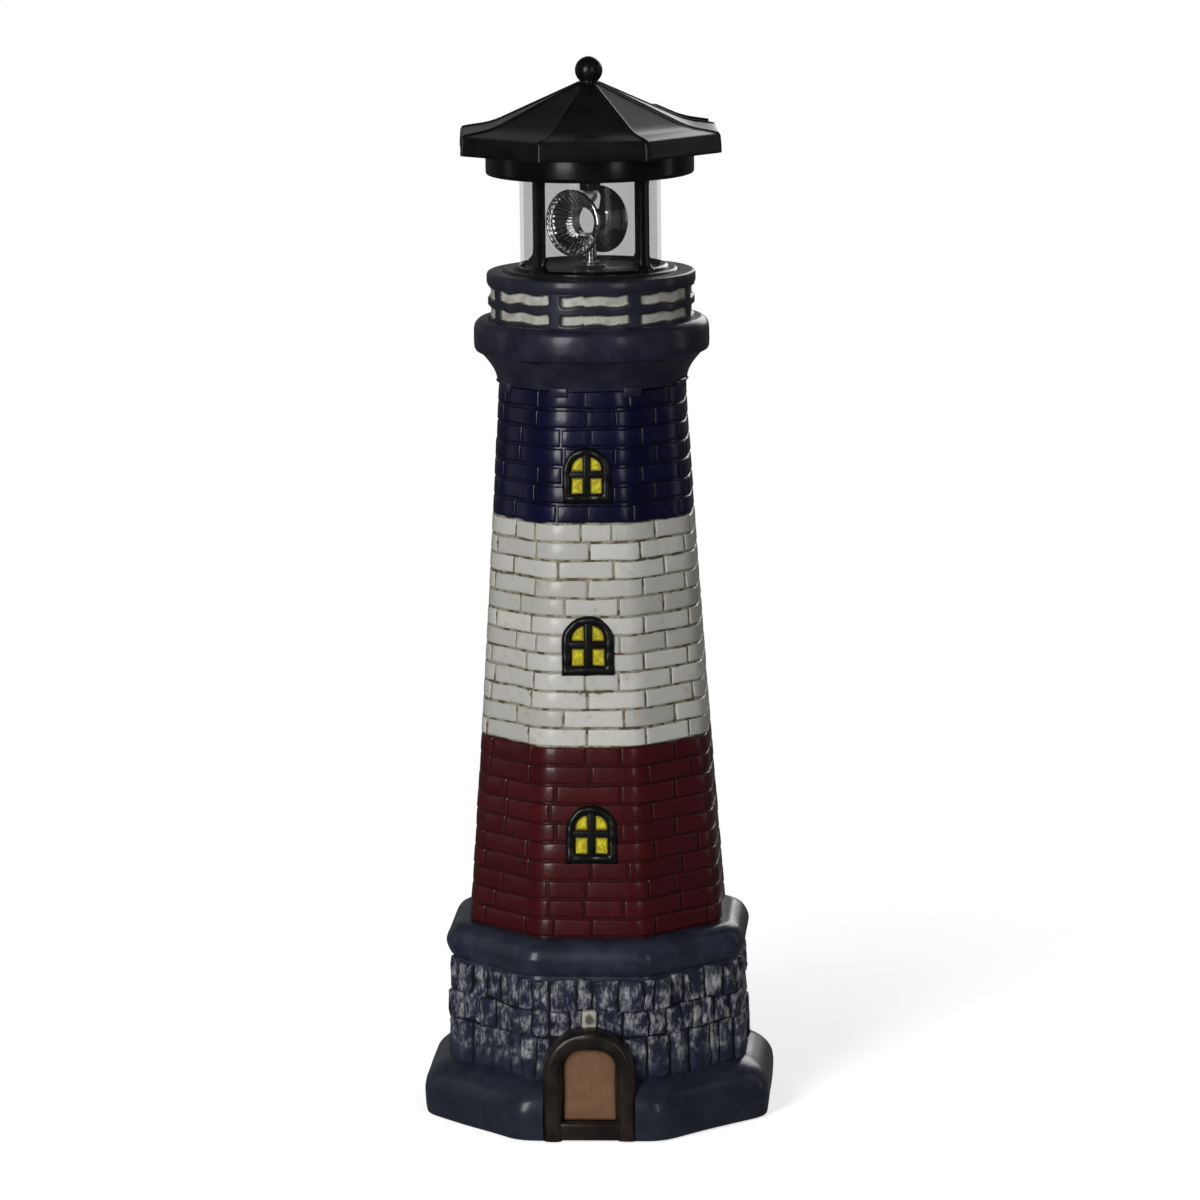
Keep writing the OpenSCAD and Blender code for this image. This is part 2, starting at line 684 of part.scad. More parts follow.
// screw with its head below, foot of the shank at the origin, pointing up
module screw(length) {
    difference() {
        union() {
            translate([0, 0, -head_h]) cylinder(h = head_h, r = head_r);
            cylinder(h = length, r = screw_r);
        }
        for (a = [0, 90]) rotate([0, 0, a]) translate([-head_r * 0.6, -0.25, -head_h - 0.1])
            cube([head_r * 1.2, 0.5, 0.6]);
    }
}

// places along a circle in the head
module round_places(angles, r) {
    for (a = angles) rotate([0, 0, a]) translate([r, 0, 0]) children();
}

plate_angles = [-120, -20, 165];
plate_screw_r = plug_r - plug_wall - 4.7;
cover_angles = [-90, 30, 150];
cover_screw_r = plug_r - plug_wall - 2.3;
drum_angles = [0:120:240];
drum_screw_r = drum_r - drum_wall - 2.9;
roof_angles = [0:90:270];
roof_screw_r = (drum_r + eave_half - roof_t) / 2;
post_angles = [45:90:315];
wire_angle = 135;

module lantern_floor() {
    color("#1c1c1e") rotate([0, 0, head_turn]) difference() {
        union() {
            translate([0, 0, z_floor]) rotate_extrude() polygon([[0, 0], [floor_r, 0],
                [floor_r, floor_t - 0.8], [floor_r - 0.8, floor_t], [0, floor_t]]);
            translate([0, 0, z_deck - 0.1]) cylinder(h = boss_h + 0.1, r = boss_r);
            round_places(plate_angles, plate_screw_r) translate([0, 0, plate_top])
                cylinder(h = z_floor - plate_top + 0.1, r = pillar_r);
        }
        translate([0, 0, z_deck - tube_sink]) difference() {
            cylinder(h = tube_sink + 1, r = tube_r + seat_gap);
            translate([0, 0, -0.1]) cylinder(h = tube_sink + 2, r = tube_r - tube_t - seat_gap);
        }
        translate([0, 0, z_floor - 1]) difference() {
            cylinder(h = 2, r = plug_r + seat_gap);
            translate([0, 0, -0.1]) cylinder(h = 3, r = plug_r - plug_wall - seat_gap);
        }
        translate([0, 0, z_floor - 1]) cylinder(h = floor_t + boss_h + 2,
            r = spindle_r + run_gap + bush_t);
        round_places(plate_angles, plate_screw_r) translate([0, 0, plate_top - 1])
            cylinder(h = screw_len + 1, r = screw_r);
        translate([0, idler_y, z_floor - 1]) cylinder(h = 2.2, r = pin_r);
        wire_holes(z_floor - 1, floor_t + 2, wire_r + seat_gap);
    }
}

// the two wires' places, standing in the rear left post
module wire_holes(z, h, r) {
    rotate([0, 0, wire_angle]) for (y = [-0.6, 0.6]) translate([post_r + wire_r + 0.18, y, z])
        cylinder(h = h, r = r);
}

module leads() {
    color("firebrick") rotate([0, 0, head_turn]) wire_holes(plate_top, board_low - plate_top, wire_r);
}

module spindle_bush() {
    color("goldenrod") rotate([0, 0, head_turn]) difference() {
        translate([0, 0, z_floor]) cylinder(h = floor_t + boss_h, r = spindle_r + run_gap + bush_t);
        translate([0, 0, z_floor - 1]) cylinder(h = floor_t + boss_h + 2, r = spindle_r + run_gap);
    }
}

module plug_housing() {
    color("#202022") rotate([0, 0, head_turn]) difference() {
        union() {
            difference() {
                translate([0, 0, z_plug]) cylinder(h = plug_h + 1, r = plug_r);
                translate([0, 0, z_plug - 1]) cylinder(h = plug_h + 3, r = plug_r - plug_wall);
            }
            round_places(cover_angles, cover_screw_r) translate([0, 0, cover_top])
                cylinder(h = 3.2, r = 2.6);
        }
        round_places(cover_angles, cover_screw_r) translate([0, 0, cover_top - 1])
            cylinder(h = 5, r = screw_r);
    }
}

module plug_cover() {
    color("#262628") rotate([0, 0, head_turn]) difference() {
        translate([0, 0, z_plug]) cylinder(h = plug_cover_t, r = plug_r - plug_wall - seat_gap);
        round_places(cover_angles, cover_screw_r) translate([0, 0, z_plug - 1])
            cylinder(h = plug_cover_t + 2, r = screw_r + seat_gap);
        round_places(cover_angles, cover_screw_r) translate([0, 0, z_plug - 1])
            cylinder(h = 1.1 + head_h, r = head_r + head_gap);
        translate([-knob_w / 2 - run_gap, switch_y - knob_d / 2 - run_gap, z_plug - 1])
            cube([knob_w + switch_travel + 2 * run_gap, knob_d + 2 * run_gap, plug_cover_t + 2]);
    }
}

module cover_screws() {
    color("silver") rotate([0, 0, head_turn]) round_places(cover_angles, cover_screw_r)
        translate([0, 0, z_plug + 0.1 + head_h]) screw(3.9);
}

module gear_plate() {
    color("#303034") rotate([0, 0, head_turn]) difference() {
        translate([0, 0, plate_low]) cylinder(h = plate_t, r = plug_r - plug_wall - 0.3);
        translate([0, 0, plate_low - 1]) cylinder(h = plate_t + 2, r = tip_r + run_gap);
        translate([0, idler_y, plate_low - 1]) cylinder(h = plate_t + 2, r = pin_r);
        translate([motor_x, idler_y, plate_low - 1]) cylinder(h = plate_t + 2, r = 1.2);
        round_places(plate_angles, plate_screw_r) translate([0, 0, plate_low - 1])
            cylinder(h = plate_t + 2, r = screw_r + seat_gap);
    }
}

module plate_screws() {
    color("silver") rotate([0, 0, head_turn]) round_places(plate_angles, plate_screw_r)
        translate([0, 0, plate_low]) screw(plate_t + screw_len - 0.6);
}

module idler_pin() {
    color("silver") rotate([0, 0, head_turn]) translate([0, idler_y, plate_low])
        cylinder(h = z_floor + 1.2 - plate_low, r = pin_r);
}

module motor() {
    color("lightsteelblue") rotate([0, 0, head_turn]) translate([motor_x, idler_y, z_motor])
        difference() {
        union() {
            cylinder(h = motor_h, r = motor_r);
            translate([0, 0, -0.8]) cylinder(h = 0.9, r = 1.8);
            translate([0, 0, motor_h - 0.1]) cylinder(h = 0.7, r = 1.1);
        }
        translate([0, 0, motor_h - 4]) cylinder(h = 6, r = motor_shaft_r + run_gap);
    }
}

// rechargeable cell lying across the plug, its tray and its two contacts
module cradle() {
    half = tray_half;
    grip = battery_len * 0.68;
    color("#2a2a30") rotate([0, 0, head_turn]) translate([0, battery_y, cover_top]) {
        difference() {
            translate([-half - 1, -battery_r, 0]) cube([2 * half + 2, 2 * battery_r,
                cradle_t + battery_r * 0.6]);
            translate([-half, -battery_r - 1, cradle_t]) cube([2 * half, 2 * battery_r + 2, battery_r]);
        }
        for (y = [-1, 1]) translate([-grip / 2, y * (battery_r - 0.5) - 0.5, 0]) difference() {
            cube([grip, 1, cradle_t + battery_r * 0.7]);
            translate([-1, -y * (battery_r - 0.5) + 0.5, cradle_t + battery_r]) rotate([0, 90, 0])
                cylinder(h = grip + 2, r = battery_r);
        }
    }
}

module battery() {
    color("mediumseagreen") rotate([0, 0, head_turn]) translate([-battery_len / 2, battery_y,
        z_battery]) rotate([0, 90, 0]) {
        cylinder(h = battery_len - 1, r = battery_r);
        translate([0, 0, battery_len - 1.1]) cylinder(h = 1.1, r = 1.9);
    }
}

module cell_contacts() {
    color("gold") rotate([0, 0, head_turn]) for (x = [-battery_len / 2 - contact_t, battery_len / 2])
        translate([x, battery_y - battery_r * 0.6, cover_top + cradle_t])
        cube([contact_t, battery_r * 1.2, battery_r * 1.6]);
}

module switch_body() {
    wide = knob_w + switch_travel + 3;
    color("#3a3a3c") rotate([0, 0, head_turn]) translate([switch_travel / 2, switch_y, cover_top])
        difference() {
        translate([-wide / 2, -2.6, 0]) cube([wide, 5.2, 4.2]);
        translate([-(knob_w + switch_travel) / 2 - run_gap, -knob_d / 2 - 0.6 - run_gap, -1])
            cube([knob_w + switch_travel + 2 * run_gap, knob_d + 1.2 + 2 * run_gap, 3.1]);
    }
}

module switch_knob() {
    color("whitesmoke") rotate([0, 0, head_turn]) translate([-knob_w / 2, switch_y - knob_d / 2,
        z_plug - 0.9]) difference() {
        union() {
            cube([knob_w, knob_d, plug_cover_t + 1.5]);
            translate([0, -0.6, plug_cover_t + 0.95]) cube([knob_w, knob_d + 1.2, 2]);
        }
        for (x = [0.55, 1.35, 2.15]) translate([x, -1, -0.1]) cube([0.35, knob_d + 2, 0.4]);
    }
}

module lantern_cage() {
    ring_r = post_r + foot_ring_t;
    color("#161618") rotate([0, 0, head_turn]) difference() {
        union() {
            translate([0, 0, z_deck]) cylinder(h = foot_ring_h, r = ring_r);
            intersection() {
                translate([0, 0, z_deck]) cylinder(h = lantern_h + 1, r = post_r + post_t);
                round_places(post_angles, 0) translate([post_r - 3, -post_w / 2, z_deck])
                    cube([8, post_w, lantern_h + 1]);
            }
            round_places(post_angles, post_r + foot_ring_t * 0.45) translate([0, 0, z_deck])
                cylinder(h = foot_ring_h + 0.8, r = foot_ring_t * 0.5);
        }
        translate([0, 0, z_deck - 1]) cylinder(h = lantern_h + 3, r = post_r);
        rotate([0, 0, wire_angle]) translate([post_r - 1, -wire_r - 0.7, z_deck - 1])
            cube([1.2 + 2 * wire_r, 2 * wire_r + 1.4, lantern_h + 3]);
    }
}

module clear_tube() {
    color("lightcyan", 0.35) translate([0, 0, z_deck - tube_sink]) difference() {
        cylinder(h = lantern_h + 2 * tube_sink, r = tube_r);
        translate([0, 0, -1]) cylinder(h = lantern_h + 2 * tube_sink + 2, r = tube_r - tube_t);
    }
}

module drum_floor() {
    color("#1a1a1c") rotate([0, 0, head_turn]) difference() {
        union() {
            translate([0, 0, z_drum]) cylinder(h = drum_floor_t, r = drum_r - drum_wall - seat_gap);
            round_places([60, 180, 300], board_r - 3) translate([0, 0, z_drum + 0.5])
                cylinder(h = drum_floor_t + board_gap - 0.5, r = 1.6);
        }
        translate([0, 0, z_drum - 1]) difference() {
            cylinder(h = 1 + tube_sink, r = tube_r + seat_gap);
            translate([0, 0, -0.1]) cylinder(h = 3, r = tube_r - tube_t - seat_gap);
        }
        round_places(post_angles, 0) intersection() {
            difference() {
                translate([0, 0, z_drum - 1]) cylinder(h = 2.02, r = post_r + post_t + seat_gap);
                translate([0, 0, z_drum - 2]) cylinder(h = 4, r = post_r - seat_gap * 0.5);
            }
            translate([post_r - 5, -post_w / 2 - seat_gap, z_drum - 1])
                cube([10, post_w + 2 * seat_gap, 2.02]);
        }
        translate([0, 0, z_drum - 1]) cylinder(h = drum_floor_t + 2, r = led_r + holder_t + 0.1);
        wire_holes(z_drum - 1, drum_floor_t + 2, wire_r + seat_gap);
        round_places(drum_angles, drum_screw_r) translate([0, 0, z_drum - 1])
            cylinder(h = drum_floor_t + 2, r = screw_r + seat_gap);
        round_places(drum_angles, drum_screw_r) translate([0, 0, z_drum - 1])
            cylinder(h = 1.1 + head_h, r = head_r + head_gap);
    }
}

module drum_floor_screws() {
    color("silver") rotate([0, 0, head_turn]) round_places(drum_angles, drum_screw_r)
        translate([0, 0, z_drum + 0.1 + head_h]) screw(drum_floor_t + 1.9);
}

// drum wall with the soffit that closes the roof from below
module drum() {
    soffit_half = eave_half - roof_t - 0.1;
    color("#18181a") rotate([0, 0, head_turn]) difference() {
        union() {
            translate([0, 0, z_drum]) rotate_extrude() polygon([[drum_r - drum_wall, 0],
                [drum_r - 1, 0], [drum_r - 0.3, 0.3], [drum_r, 1], [drum_r, soffit_top - z_drum],
                [drum_r - drum_wall, soffit_top - z_drum]]);
            difference() {
                rotate([0, 0, 22.5]) translate([0, 0, soffit_low])
                    cylinder(h = soffit_t, r = soffit_half / cos(22.5), $fn = 8);
                translate([0, 0, soffit_low - 1]) cylinder(h = soffit_t + 2, r = drum_r - 1);
            }
            round_places(drum_angles, drum_screw_r) difference() {
                translate([0, 0, z_drum + drum_floor_t]) cylinder(h = 4, r = 2.3);
                translate([0, 0, z_drum + drum_floor_t - 1]) cylinder(h = 6, r = screw_r);
            }
            round_places(drum_angles, drum_r - drum_wall - 0.6)
                translate([-0.7, -1.5, z_drum + drum_floor_t]) cube([1.6, 3, 4]);
        }
        round_places(roof_angles, roof_screw_r) translate([0, 0, soffit_low - 1])
            cylinder(h = soffit_t + 2, r = screw_r + seat_gap);
    }
}

module roof_screws() {
    color("silver") rotate([0, 0, head_turn]) round_places(roof_angles, roof_screw_r)
        translate([0, 0, soffit_low]) screw(soffit_t + 2.4);
}

// octagonal solid under the roof outline
module roof_body(low, inset, drop) {
    limit = eave_half - inset;
    inner = [for (i = [len(roof_line) - 1:-1:0]) if (roof_line[i][0] < limit - 0.5)
        [roof_line[i][1] - drop, roof_line[i][0], 0]];
    edge = inset == 0 ? [[z_eave, roof_w / 2, 0], [z_fascia, eave_half, 0]] : [[low, limit, 0],
        [roof_z(limit) - drop, limit, 0]];
    stack(concat(edge, inner), 0);
}

// raised rib along one hip and down the corner of the fascia
module hip_rib() {
    stretch = 1 / cos(22.5);
    foot = roof_w / 2 * stretch;
    upper = [for (p = roof_line) [p[0] * stretch + rib_out * 0.4, p[1] + rib_out]];
    lower = [for (i = [len(roof_line) - 1:-1:0]) [roof_line[i][0] * stretch - 0.8,
        roof_line[i][1] - 0.8]];
    translate([0, rib_w / 2, 0]) rotate([90, 0, 0]) linear_extrude(height = rib_w)
        polygon(concat(upper, [[foot + rib_out * 0.5, z_eave], [foot - 1, z_eave]], lower));
}

module roof_shell() {
    color("#121214") rotate([0, 0, head_turn]) difference() {
        union() {
            roof_body(z_eave, 0, 0);
            for (k = [0:7]) rotate([0, 0, 22.5 + 45 * k]) hip_rib();
        }
        difference() {
            roof_body(soffit_top - 0.5, roof_t + 1.2, roof_t);
            round_places(roof_angles, roof_screw_r) translate([0, 0, soffit_top - 2])
                cylinder(h = 30, r = 2.3);
            translate([0, 0, z_crown - 5]) cylinder(h = 12, r = 3.4);
        }
        translate([0, 0, z_eave - 1]) rotate([0, 0, 22.5])
            cylinder(h = soffit_top - z_eave + 1, r = (eave_half - roof_t) / cos(22.5), $fn = 8);
        round_places(roof_angles, roof_screw_r) translate([0, 0, soffit_top - 1])
            cylinder(h = 3.4, r = screw_r);
        translate([0, 0, z_crown - 3]) cylinder(h = 12, r = finial_pin_r);
    }
}

module finial() {
    color("#101012") {
        translate([0, 0, z_crown - 3]) cylinder(h = 3.5, r = finial_pin_r);
        translate([0, 0, z_crown]) cylinder(h = z_ball - z_crown, r = neck_r);
        translate([0, 0, z_ball]) sphere(r = ball_r);
    }
}

// height of the solar cell's flat face, which spans the roof's bend
function cell_z(r) = line_z([panel_start, roof_z(panel_start) + cell_lift],
    [panel_end, roof_z(panel_end) + cell_lift], r);

// part of the facet's wedge between two half widths, clear of the ribs
module panel_plan(r0, r1, side) {
    translate([0, 0, z_eave]) linear_extrude(height = 40) polygon([[r0, -r0 * tan(22.5) + side],
        [r1, -r1 * tan(22.5) + side], [r1, r1 * tan(22.5) - side], [r0, r0 * tan(22.5) - side]]);
}

// outline in the facet's middle plane, drawn out across it
module panel_side(outline) {
    translate([0, 30, 0]) rotate([90, 0, 0]) linear_extrude(height = 60) polygon(outline);
}

panel_side_gap = rib_w / 2 + 0.5;
module panel_frame() {
    under = concat([[panel_start, roof_z(panel_start)]], [for (p = roof_line)
        if (p[0] > panel_start && p[0] < panel_end) p], [[panel_end, roof_z(panel_end)]]);
    over = [for (i = [len(under) - 1:-1:0]) under[i] + [0, panel_raise]];
    color("#202226") rotate([0, 0, head_turn + 45]) difference() {
        intersection() {
            panel_side(concat(under, over));
            panel_plan(panel_start, panel_end, panel_side_gap);
        }
        intersection() {
            panel_side([[panel_start, cell_z(panel_start) - cell_t],
                [panel_end, cell_z(panel_end) - cell_t], [panel_end, z_crown + 5],
                [panel_start, z_crown + 5]]);
            panel_plan(panel_start + panel_border, panel_end - panel_border,
                panel_side_gap + panel_border);
        }
    }
}

module solar_cell() {
    border = panel_border + seat_gap;
    r0 = panel_start + border;
    r1 = panel_end - border;
    color("#14203c") rotate([0, 0, head_turn + 45]) intersection() {
        panel_side([[r0, cell_z(r0) - cell_t], [r1, cell_z(r1) - cell_t], [r1, cell_z(r1)],
            [r0, cell_z(r0)]]);
        panel_plan(r0, r1, panel_side_gap + border);
    }
}

// ---- light and electronics in the drum ----

led_tip = z_axis + waist_r + led_gap;
led_shoulder = z_drum - holder_drop + 2;
module led_holder() {
    holder_r = led_r + holder_t;
    color("#0e0e10") difference() {
        union() {
            translate([0, 0, z_drum - holder_drop]) cylinder(h = holder_drop + drum_floor_t + 0.5,
                r = holder_r);
            translate([0, 0, z_drum + drum_floor_t]) cylinder(h = 1, r = holder_r + 1.5);
        }
        translate([0, 0, z_drum - holder_drop - 1]) cylinder(h = holder_drop + 6, r = led_r + run_gap);
        translate([0, 0, led_shoulder]) cylinder(h = holder_drop + 6, r = led_flange_r + run_gap);
    }
}

module led() {
    color("white") {
        translate([0, 0, led_tip + led_r]) sphere(r = led_r);
        translate([0, 0, led_tip + led_r]) cylinder(h = led_shoulder + led_flange_h - led_tip - led_r,
            r = led_r);
        translate([0, 0, led_shoulder]) cylinder(h = led_flange_h, r = led_flange_r);
        for (x = [-1.27, 1.27]) translate([x, 0, led_shoulder + 0.5])
            cylinder(h = board_low - led_shoulder - 0.5, r = 0.3);
    }
}

module circuit_board() {
    color("darkgreen") rotate([0, 0, head_turn]) translate([0, 0, board_low])
        cylinder(h = board_t, r = board_r);
}

module board_parts() {
    top = board_low + board_t;
    color("#2c2c2c") rotate([0, 0, head_turn]) translate([0, 0, top]) scale(board_r / 24) {
        translate([-9, -3, 0]) cube([5, 4, 1.6]);
        translate([6, 6, 0]) cylinder(h = 4.2, r = 2.6);
        translate([8, -8, 0]) cylinder(h = 5, r = 2);
        translate([-4, 8, 0]) cube([6, 2.4, 1.8]);
        translate([-12, -12, 0]) cube([3.2, 1.6, 0.8]);
        translate([-2, -14, 0]) cube([3.2, 1.6, 0.8]);
    }
}

// ---- beacon and gears ----

// flat gear with one tooth towards +X
module gear_shape(n) {
    pitch_r = tooth_module * n / 2;
    tip = pitch_r + tooth_module * 0.9;
    root = pitch_r - tooth_module * 1.15;
    half = tooth_module * 1.5708 / 2 - tooth_play / 2;
    a_tip = (half - tooth_module * 0.36) / tip * 57.296;
    a_mid = half / pitch_r * 57.296;
    a_root = (half + tooth_module * (n > 20 ? 0.34 : 0.06)) / root * 57.296;
    polygon([for (i = [0:n - 1]) for (p = [[root, -a_root], [pitch_r, -a_mid], [tip, -a_tip],
        [tip, a_tip], [pitch_r, a_mid], [root, a_root]])
        let(a = 360 * i / n + p[1]) [p[0] * cos(a), p[0] * sin(a)]]);
}

spindle_top = z_axis - waist_r + cup_wall + 0.4;
module spindle() {
    color("silver") {
        translate([0, 0, plate_low + 0.4]) cylinder(h = z_gear - plate_low, r = tip_r);
        translate([0, 0, z_gear - 0.3]) cylinder(h = spindle_top - z_gear + 0.3, r = spindle_r);
        translate([0, 0, z_deck + boss_h + 0.15]) cylinder(h = 0.9, r = spindle_r + 1.2);
    }
}

module output_gear() {
    color("white") rotate([0, 0, head_turn]) difference() {
        translate([0, 0, z_gear]) rotate([0, 0, 90]) linear_extrude(height = gear_h)
            gear_shape(output_teeth);
        translate([0, 0, z_gear - 1]) cylinder(h = gear_h + 2, r = spindle_r);
    }
}

// half outline of the reflector from its middle to one rim
cup_neck = 2.2;
cup_half = cup_len / 2 - bead_r;
function cup_side(u) = waist_r + (cup_r - waist_r) * pow(sin(90 * u), 0.9);
cup_line = concat([[waist_r, 0]], [for (i = [0:9]) [cup_side(i / 9), cup_neck + (cup_half - cup_neck)
    * i / 9]]);
module reflector_half() {
    last = len(cup_line) - 1;
    rotate_extrude() polygon(concat(cup_line, [for (i = [last:-1:0])
        [cup_line[i][0] - cup_wall, cup_line[i][1]]]));
    translate([0, 0, cup_half]) rotate_extrude() translate([cup_r - cup_wall / 2, 0])
        circle(r = bead_r);
}

module reflector() {
    color("gainsboro") difference() {
        translate([0, 0, z_axis]) rotate([0, 0, beacon_turn - 90]) rotate([0, 90, 0])
            translate([0, 0, cup_shift]) {
            reflector_half();
            mirror([0, 0, 1]) reflector_half();
        }
        translate([0, 0, z_axis]) cylinder(h = cup_r + 2, r = led_flange_r + led_clear);
        translate([0, 0, z_axis - cup_r - 2]) cylinder(h = cup_r + 2, r = spindle_r);
    }
}

module idler_gear() {
    color("ivory") rotate([0, 0, head_turn]) translate([0, idler_y, 0]) difference() {
        union() {
            translate([0, 0, z_wheel]) linear_extrude(height = gear_h) gear_shape(idler_teeth);
            translate([0, 0, z_wheel + gear_h - 0.1]) rotate([0, 0, 270 + 180 / pinion_teeth])
                linear_extrude(height = gear_h + layer_gap + 0.1) gear_shape(pinion_teeth);
        }
        translate([0, 0, z_wheel - 1]) cylinder(h = 2 * gear_h + layer_gap + 2, r = pin_r + run_gap);
    }
}

module motor_shaft() {
    color("silver") rotate([0, 0, head_turn]) translate([motor_x, idler_y, z_motor + motor_h - 3.6])
        cylinder(h = z_wheel + gear_h + 0.3 - z_motor - motor_h + 3.6, r = motor_shaft_r);
}

module motor_pinion() {
    color("goldenrod") rotate([0, 0, head_turn]) translate([motor_x, idler_y, z_wheel]) difference() {
        rotate([0, 0, 180 + 180 / pinion_teeth]) linear_extrude(height = gear_h)
            gear_shape(pinion_teeth);
        translate([0, 0, -1]) cylinder(h = gear_h + 2, r = motor_shaft_r);
    }
}

// ---- selection ----

base_casting();
shaft_casting();
gallery_casting();
base_cover();
rubber_pads();
window_frames();
window_panes();
door_surround();
door_leaf();
lantern_floor();
spindle_bush();
plug_housing();
plug_cover();
cover_screws();
gear_plate();
plate_screws();
idler_pin();
motor();
cradle();
battery();
cell_contacts();
switch_body();
lantern_cage();
clear_tube();
drum_floor();
drum_floor_screws();
drum();
roof_screws();
roof_shell();
finial();
panel_frame();
solar_cell();
circuit_board();
board_parts();
led_holder();
led();
leads();
spindle();
output_gear();
reflector();
idler_gear();
motor_shaft();
motor_pinion();
switch_knob();
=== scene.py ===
# %% [markdown]
# # Dressing a garden lighthouse
#
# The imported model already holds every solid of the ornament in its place. This lesson
# dresses it: each cell makes one visible piece, or one finish, in the same frame.
# Lengths are written in millimetres, as a maker would say them, and turned into
# metres when a mesh is made.

# %% Load the frame
import json
import math
import random

import bmesh
import bpy
from bpy_extras.object_utils import world_to_camera_view
from mathutils import Matrix, Vector, noise


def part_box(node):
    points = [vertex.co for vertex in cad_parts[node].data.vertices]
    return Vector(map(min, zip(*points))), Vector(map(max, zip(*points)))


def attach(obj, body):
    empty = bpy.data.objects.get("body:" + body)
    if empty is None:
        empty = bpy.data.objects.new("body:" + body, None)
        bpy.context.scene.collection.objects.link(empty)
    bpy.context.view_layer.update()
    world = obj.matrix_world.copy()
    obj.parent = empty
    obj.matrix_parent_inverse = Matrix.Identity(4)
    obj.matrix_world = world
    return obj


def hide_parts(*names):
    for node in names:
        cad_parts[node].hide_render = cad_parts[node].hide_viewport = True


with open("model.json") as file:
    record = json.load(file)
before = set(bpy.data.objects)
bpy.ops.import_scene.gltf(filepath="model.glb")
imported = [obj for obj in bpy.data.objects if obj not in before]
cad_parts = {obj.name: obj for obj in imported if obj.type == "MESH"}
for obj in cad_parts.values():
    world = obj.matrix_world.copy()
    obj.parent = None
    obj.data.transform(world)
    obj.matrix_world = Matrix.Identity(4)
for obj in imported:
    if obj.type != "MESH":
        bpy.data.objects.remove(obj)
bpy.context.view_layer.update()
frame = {"nodes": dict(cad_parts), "record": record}
MM = 0.001


def linked(name, data):
    """A new object in the scene."""
    piece = bpy.data.objects.new(name, data)
    bpy.context.scene.collection.objects.link(piece)
    return piece


# %% [markdown]
# ## Heights
#
# Tower and lantern are stacks, so a handful of heights place everything. Those of
# the lantern head are read from the boxes of its solids. Those of the castings are
# written once here.

# %% Heights and turns
def low(node):
    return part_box(node)[0][2] / MM


def high(node):
    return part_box(node)[1][2] / MM


PLINTH, PLINTH_HALF, LEDGE_HALF = (0.4, 19.2), 59.0, 51.0
STONE_COURSES = (19.2, 34.4, 43.4, 54.2)
LEDGE = (54.2, 67.0)
BANDS = (67.0, 131.4, 206.4, 250.8)
COURSES = (10, 12, 7)
SHAFT_WIDE, SHAFT_NARROW = 43.1, 31.3  # half widths of the shaft's foot and head
TAPER = (SHAFT_WIDE - SHAFT_NARROW) / (BANDS[3] - BANDS[0])
CONE, COLLAR, PANELS, RIM = 250.8, 260.8, 272.0, 283.5
GALLERY_TOP = high("gallery_casting")
DECK = high("lantern_floor") - 1.0
DRUM = low("drum")
EAVE = low("roof_shell")
TOP = high("finial")
AXIS = DECK + 15.8  # the reflector's own axis
BALL_R, BALL_SINK, NECK = 4.65, 0.72, 0.9
CROWN = TOP - BALL_R * (1 + BALL_SINK) - NECK
HEAD_TURN, GALLERY_TURN, BEACON_TURN = 5.5, 6.0, -34.0
print("gallery %.1f, deck %.1f, drum %.1f, eave %.1f, top %.1f" % (GALLERY_TOP, DECK, DRUM, EAVE, TOP))

# %% [markdown]
# ## The camera
#
# The photograph was taken from nearly two metres with a long lens, level with a point
# above the roof and four degrees to the right of the door. The heights and widths of
# the rims gave its distance, its lens and a slight roll.

# %% Camera
CAMERA_AT = Vector((0.1355, -1.9383, 0.519))
PHOTO_SIDE = 1200
data = bpy.data.cameras.new("studio_camera")
data.lens, data.sensor_width, data.clip_start, data.clip_end = 174.0, 36.0, 0.05, 60.0
camera = linked("studio_camera", data)
turn, pitch, roll = math.radians(3.949), math.radians(10.05), math.radians(-0.68)
camera.matrix_world = (
    Matrix.Translation(CAMERA_AT)
    @ Matrix.Rotation(turn, 4, "Z")
    @ Matrix.Rotation(math.pi / 2 - pitch, 4, "X")
    @ Matrix.Rotation(roll, 4, "Z")
)
bpy.context.scene.camera = camera
bpy.context.scene.view_settings.view_transform = "Standard"
bpy.context.view_layer.update()
for name, point in (
    ("ball", (0, 0, TOP)), ("rim", (0, 0, GALLERY_TOP)), ("foot", (0, 0, 0)), ("plinth", (0, -59, 0.6))
):
    seen = world_to_camera_view(bpy.context.scene, camera, Vector(point) * MM)
    print("%s at x %.1f, y %.1f pixels" % (name, seen.x * PHOTO_SIDE, (1 - seen.y) * PHOTO_SIDE))

# %% [markdown]
# ## Rings and skins
#
# Almost every piece is a stack of rings: octagons with rounded corners for the
# castings, circles for turned parts. One helper joins rings into a closed skin. Rings
# start at the front and run anticlockwise seen from above, so that the patterns of
# neighbouring pieces line up.

# %% Rings, skins and outlines
def mark_points(mesh, name, values, kind="FLOAT"):
    """Keeps a value at each point of a mesh."""
    field = "vector" if kind == "FLOAT_VECTOR" else "value"
    mesh.attributes.new(name, kind, "POINT").data.foreach_set(field, values)


def smooth(piece):
    piece.data.polygons.foreach_set("use_smooth", [True] * len(piece.data.polygons))
    return piece


def face_out(piece):
    """Turns every face outward."""
    work = bmesh.new()
    work.from_mesh(piece.data)
    bmesh.ops.recalc_face_normals(work, faces=work.faces)
    work.to_mesh(piece.data)
    work.free()
    return piece


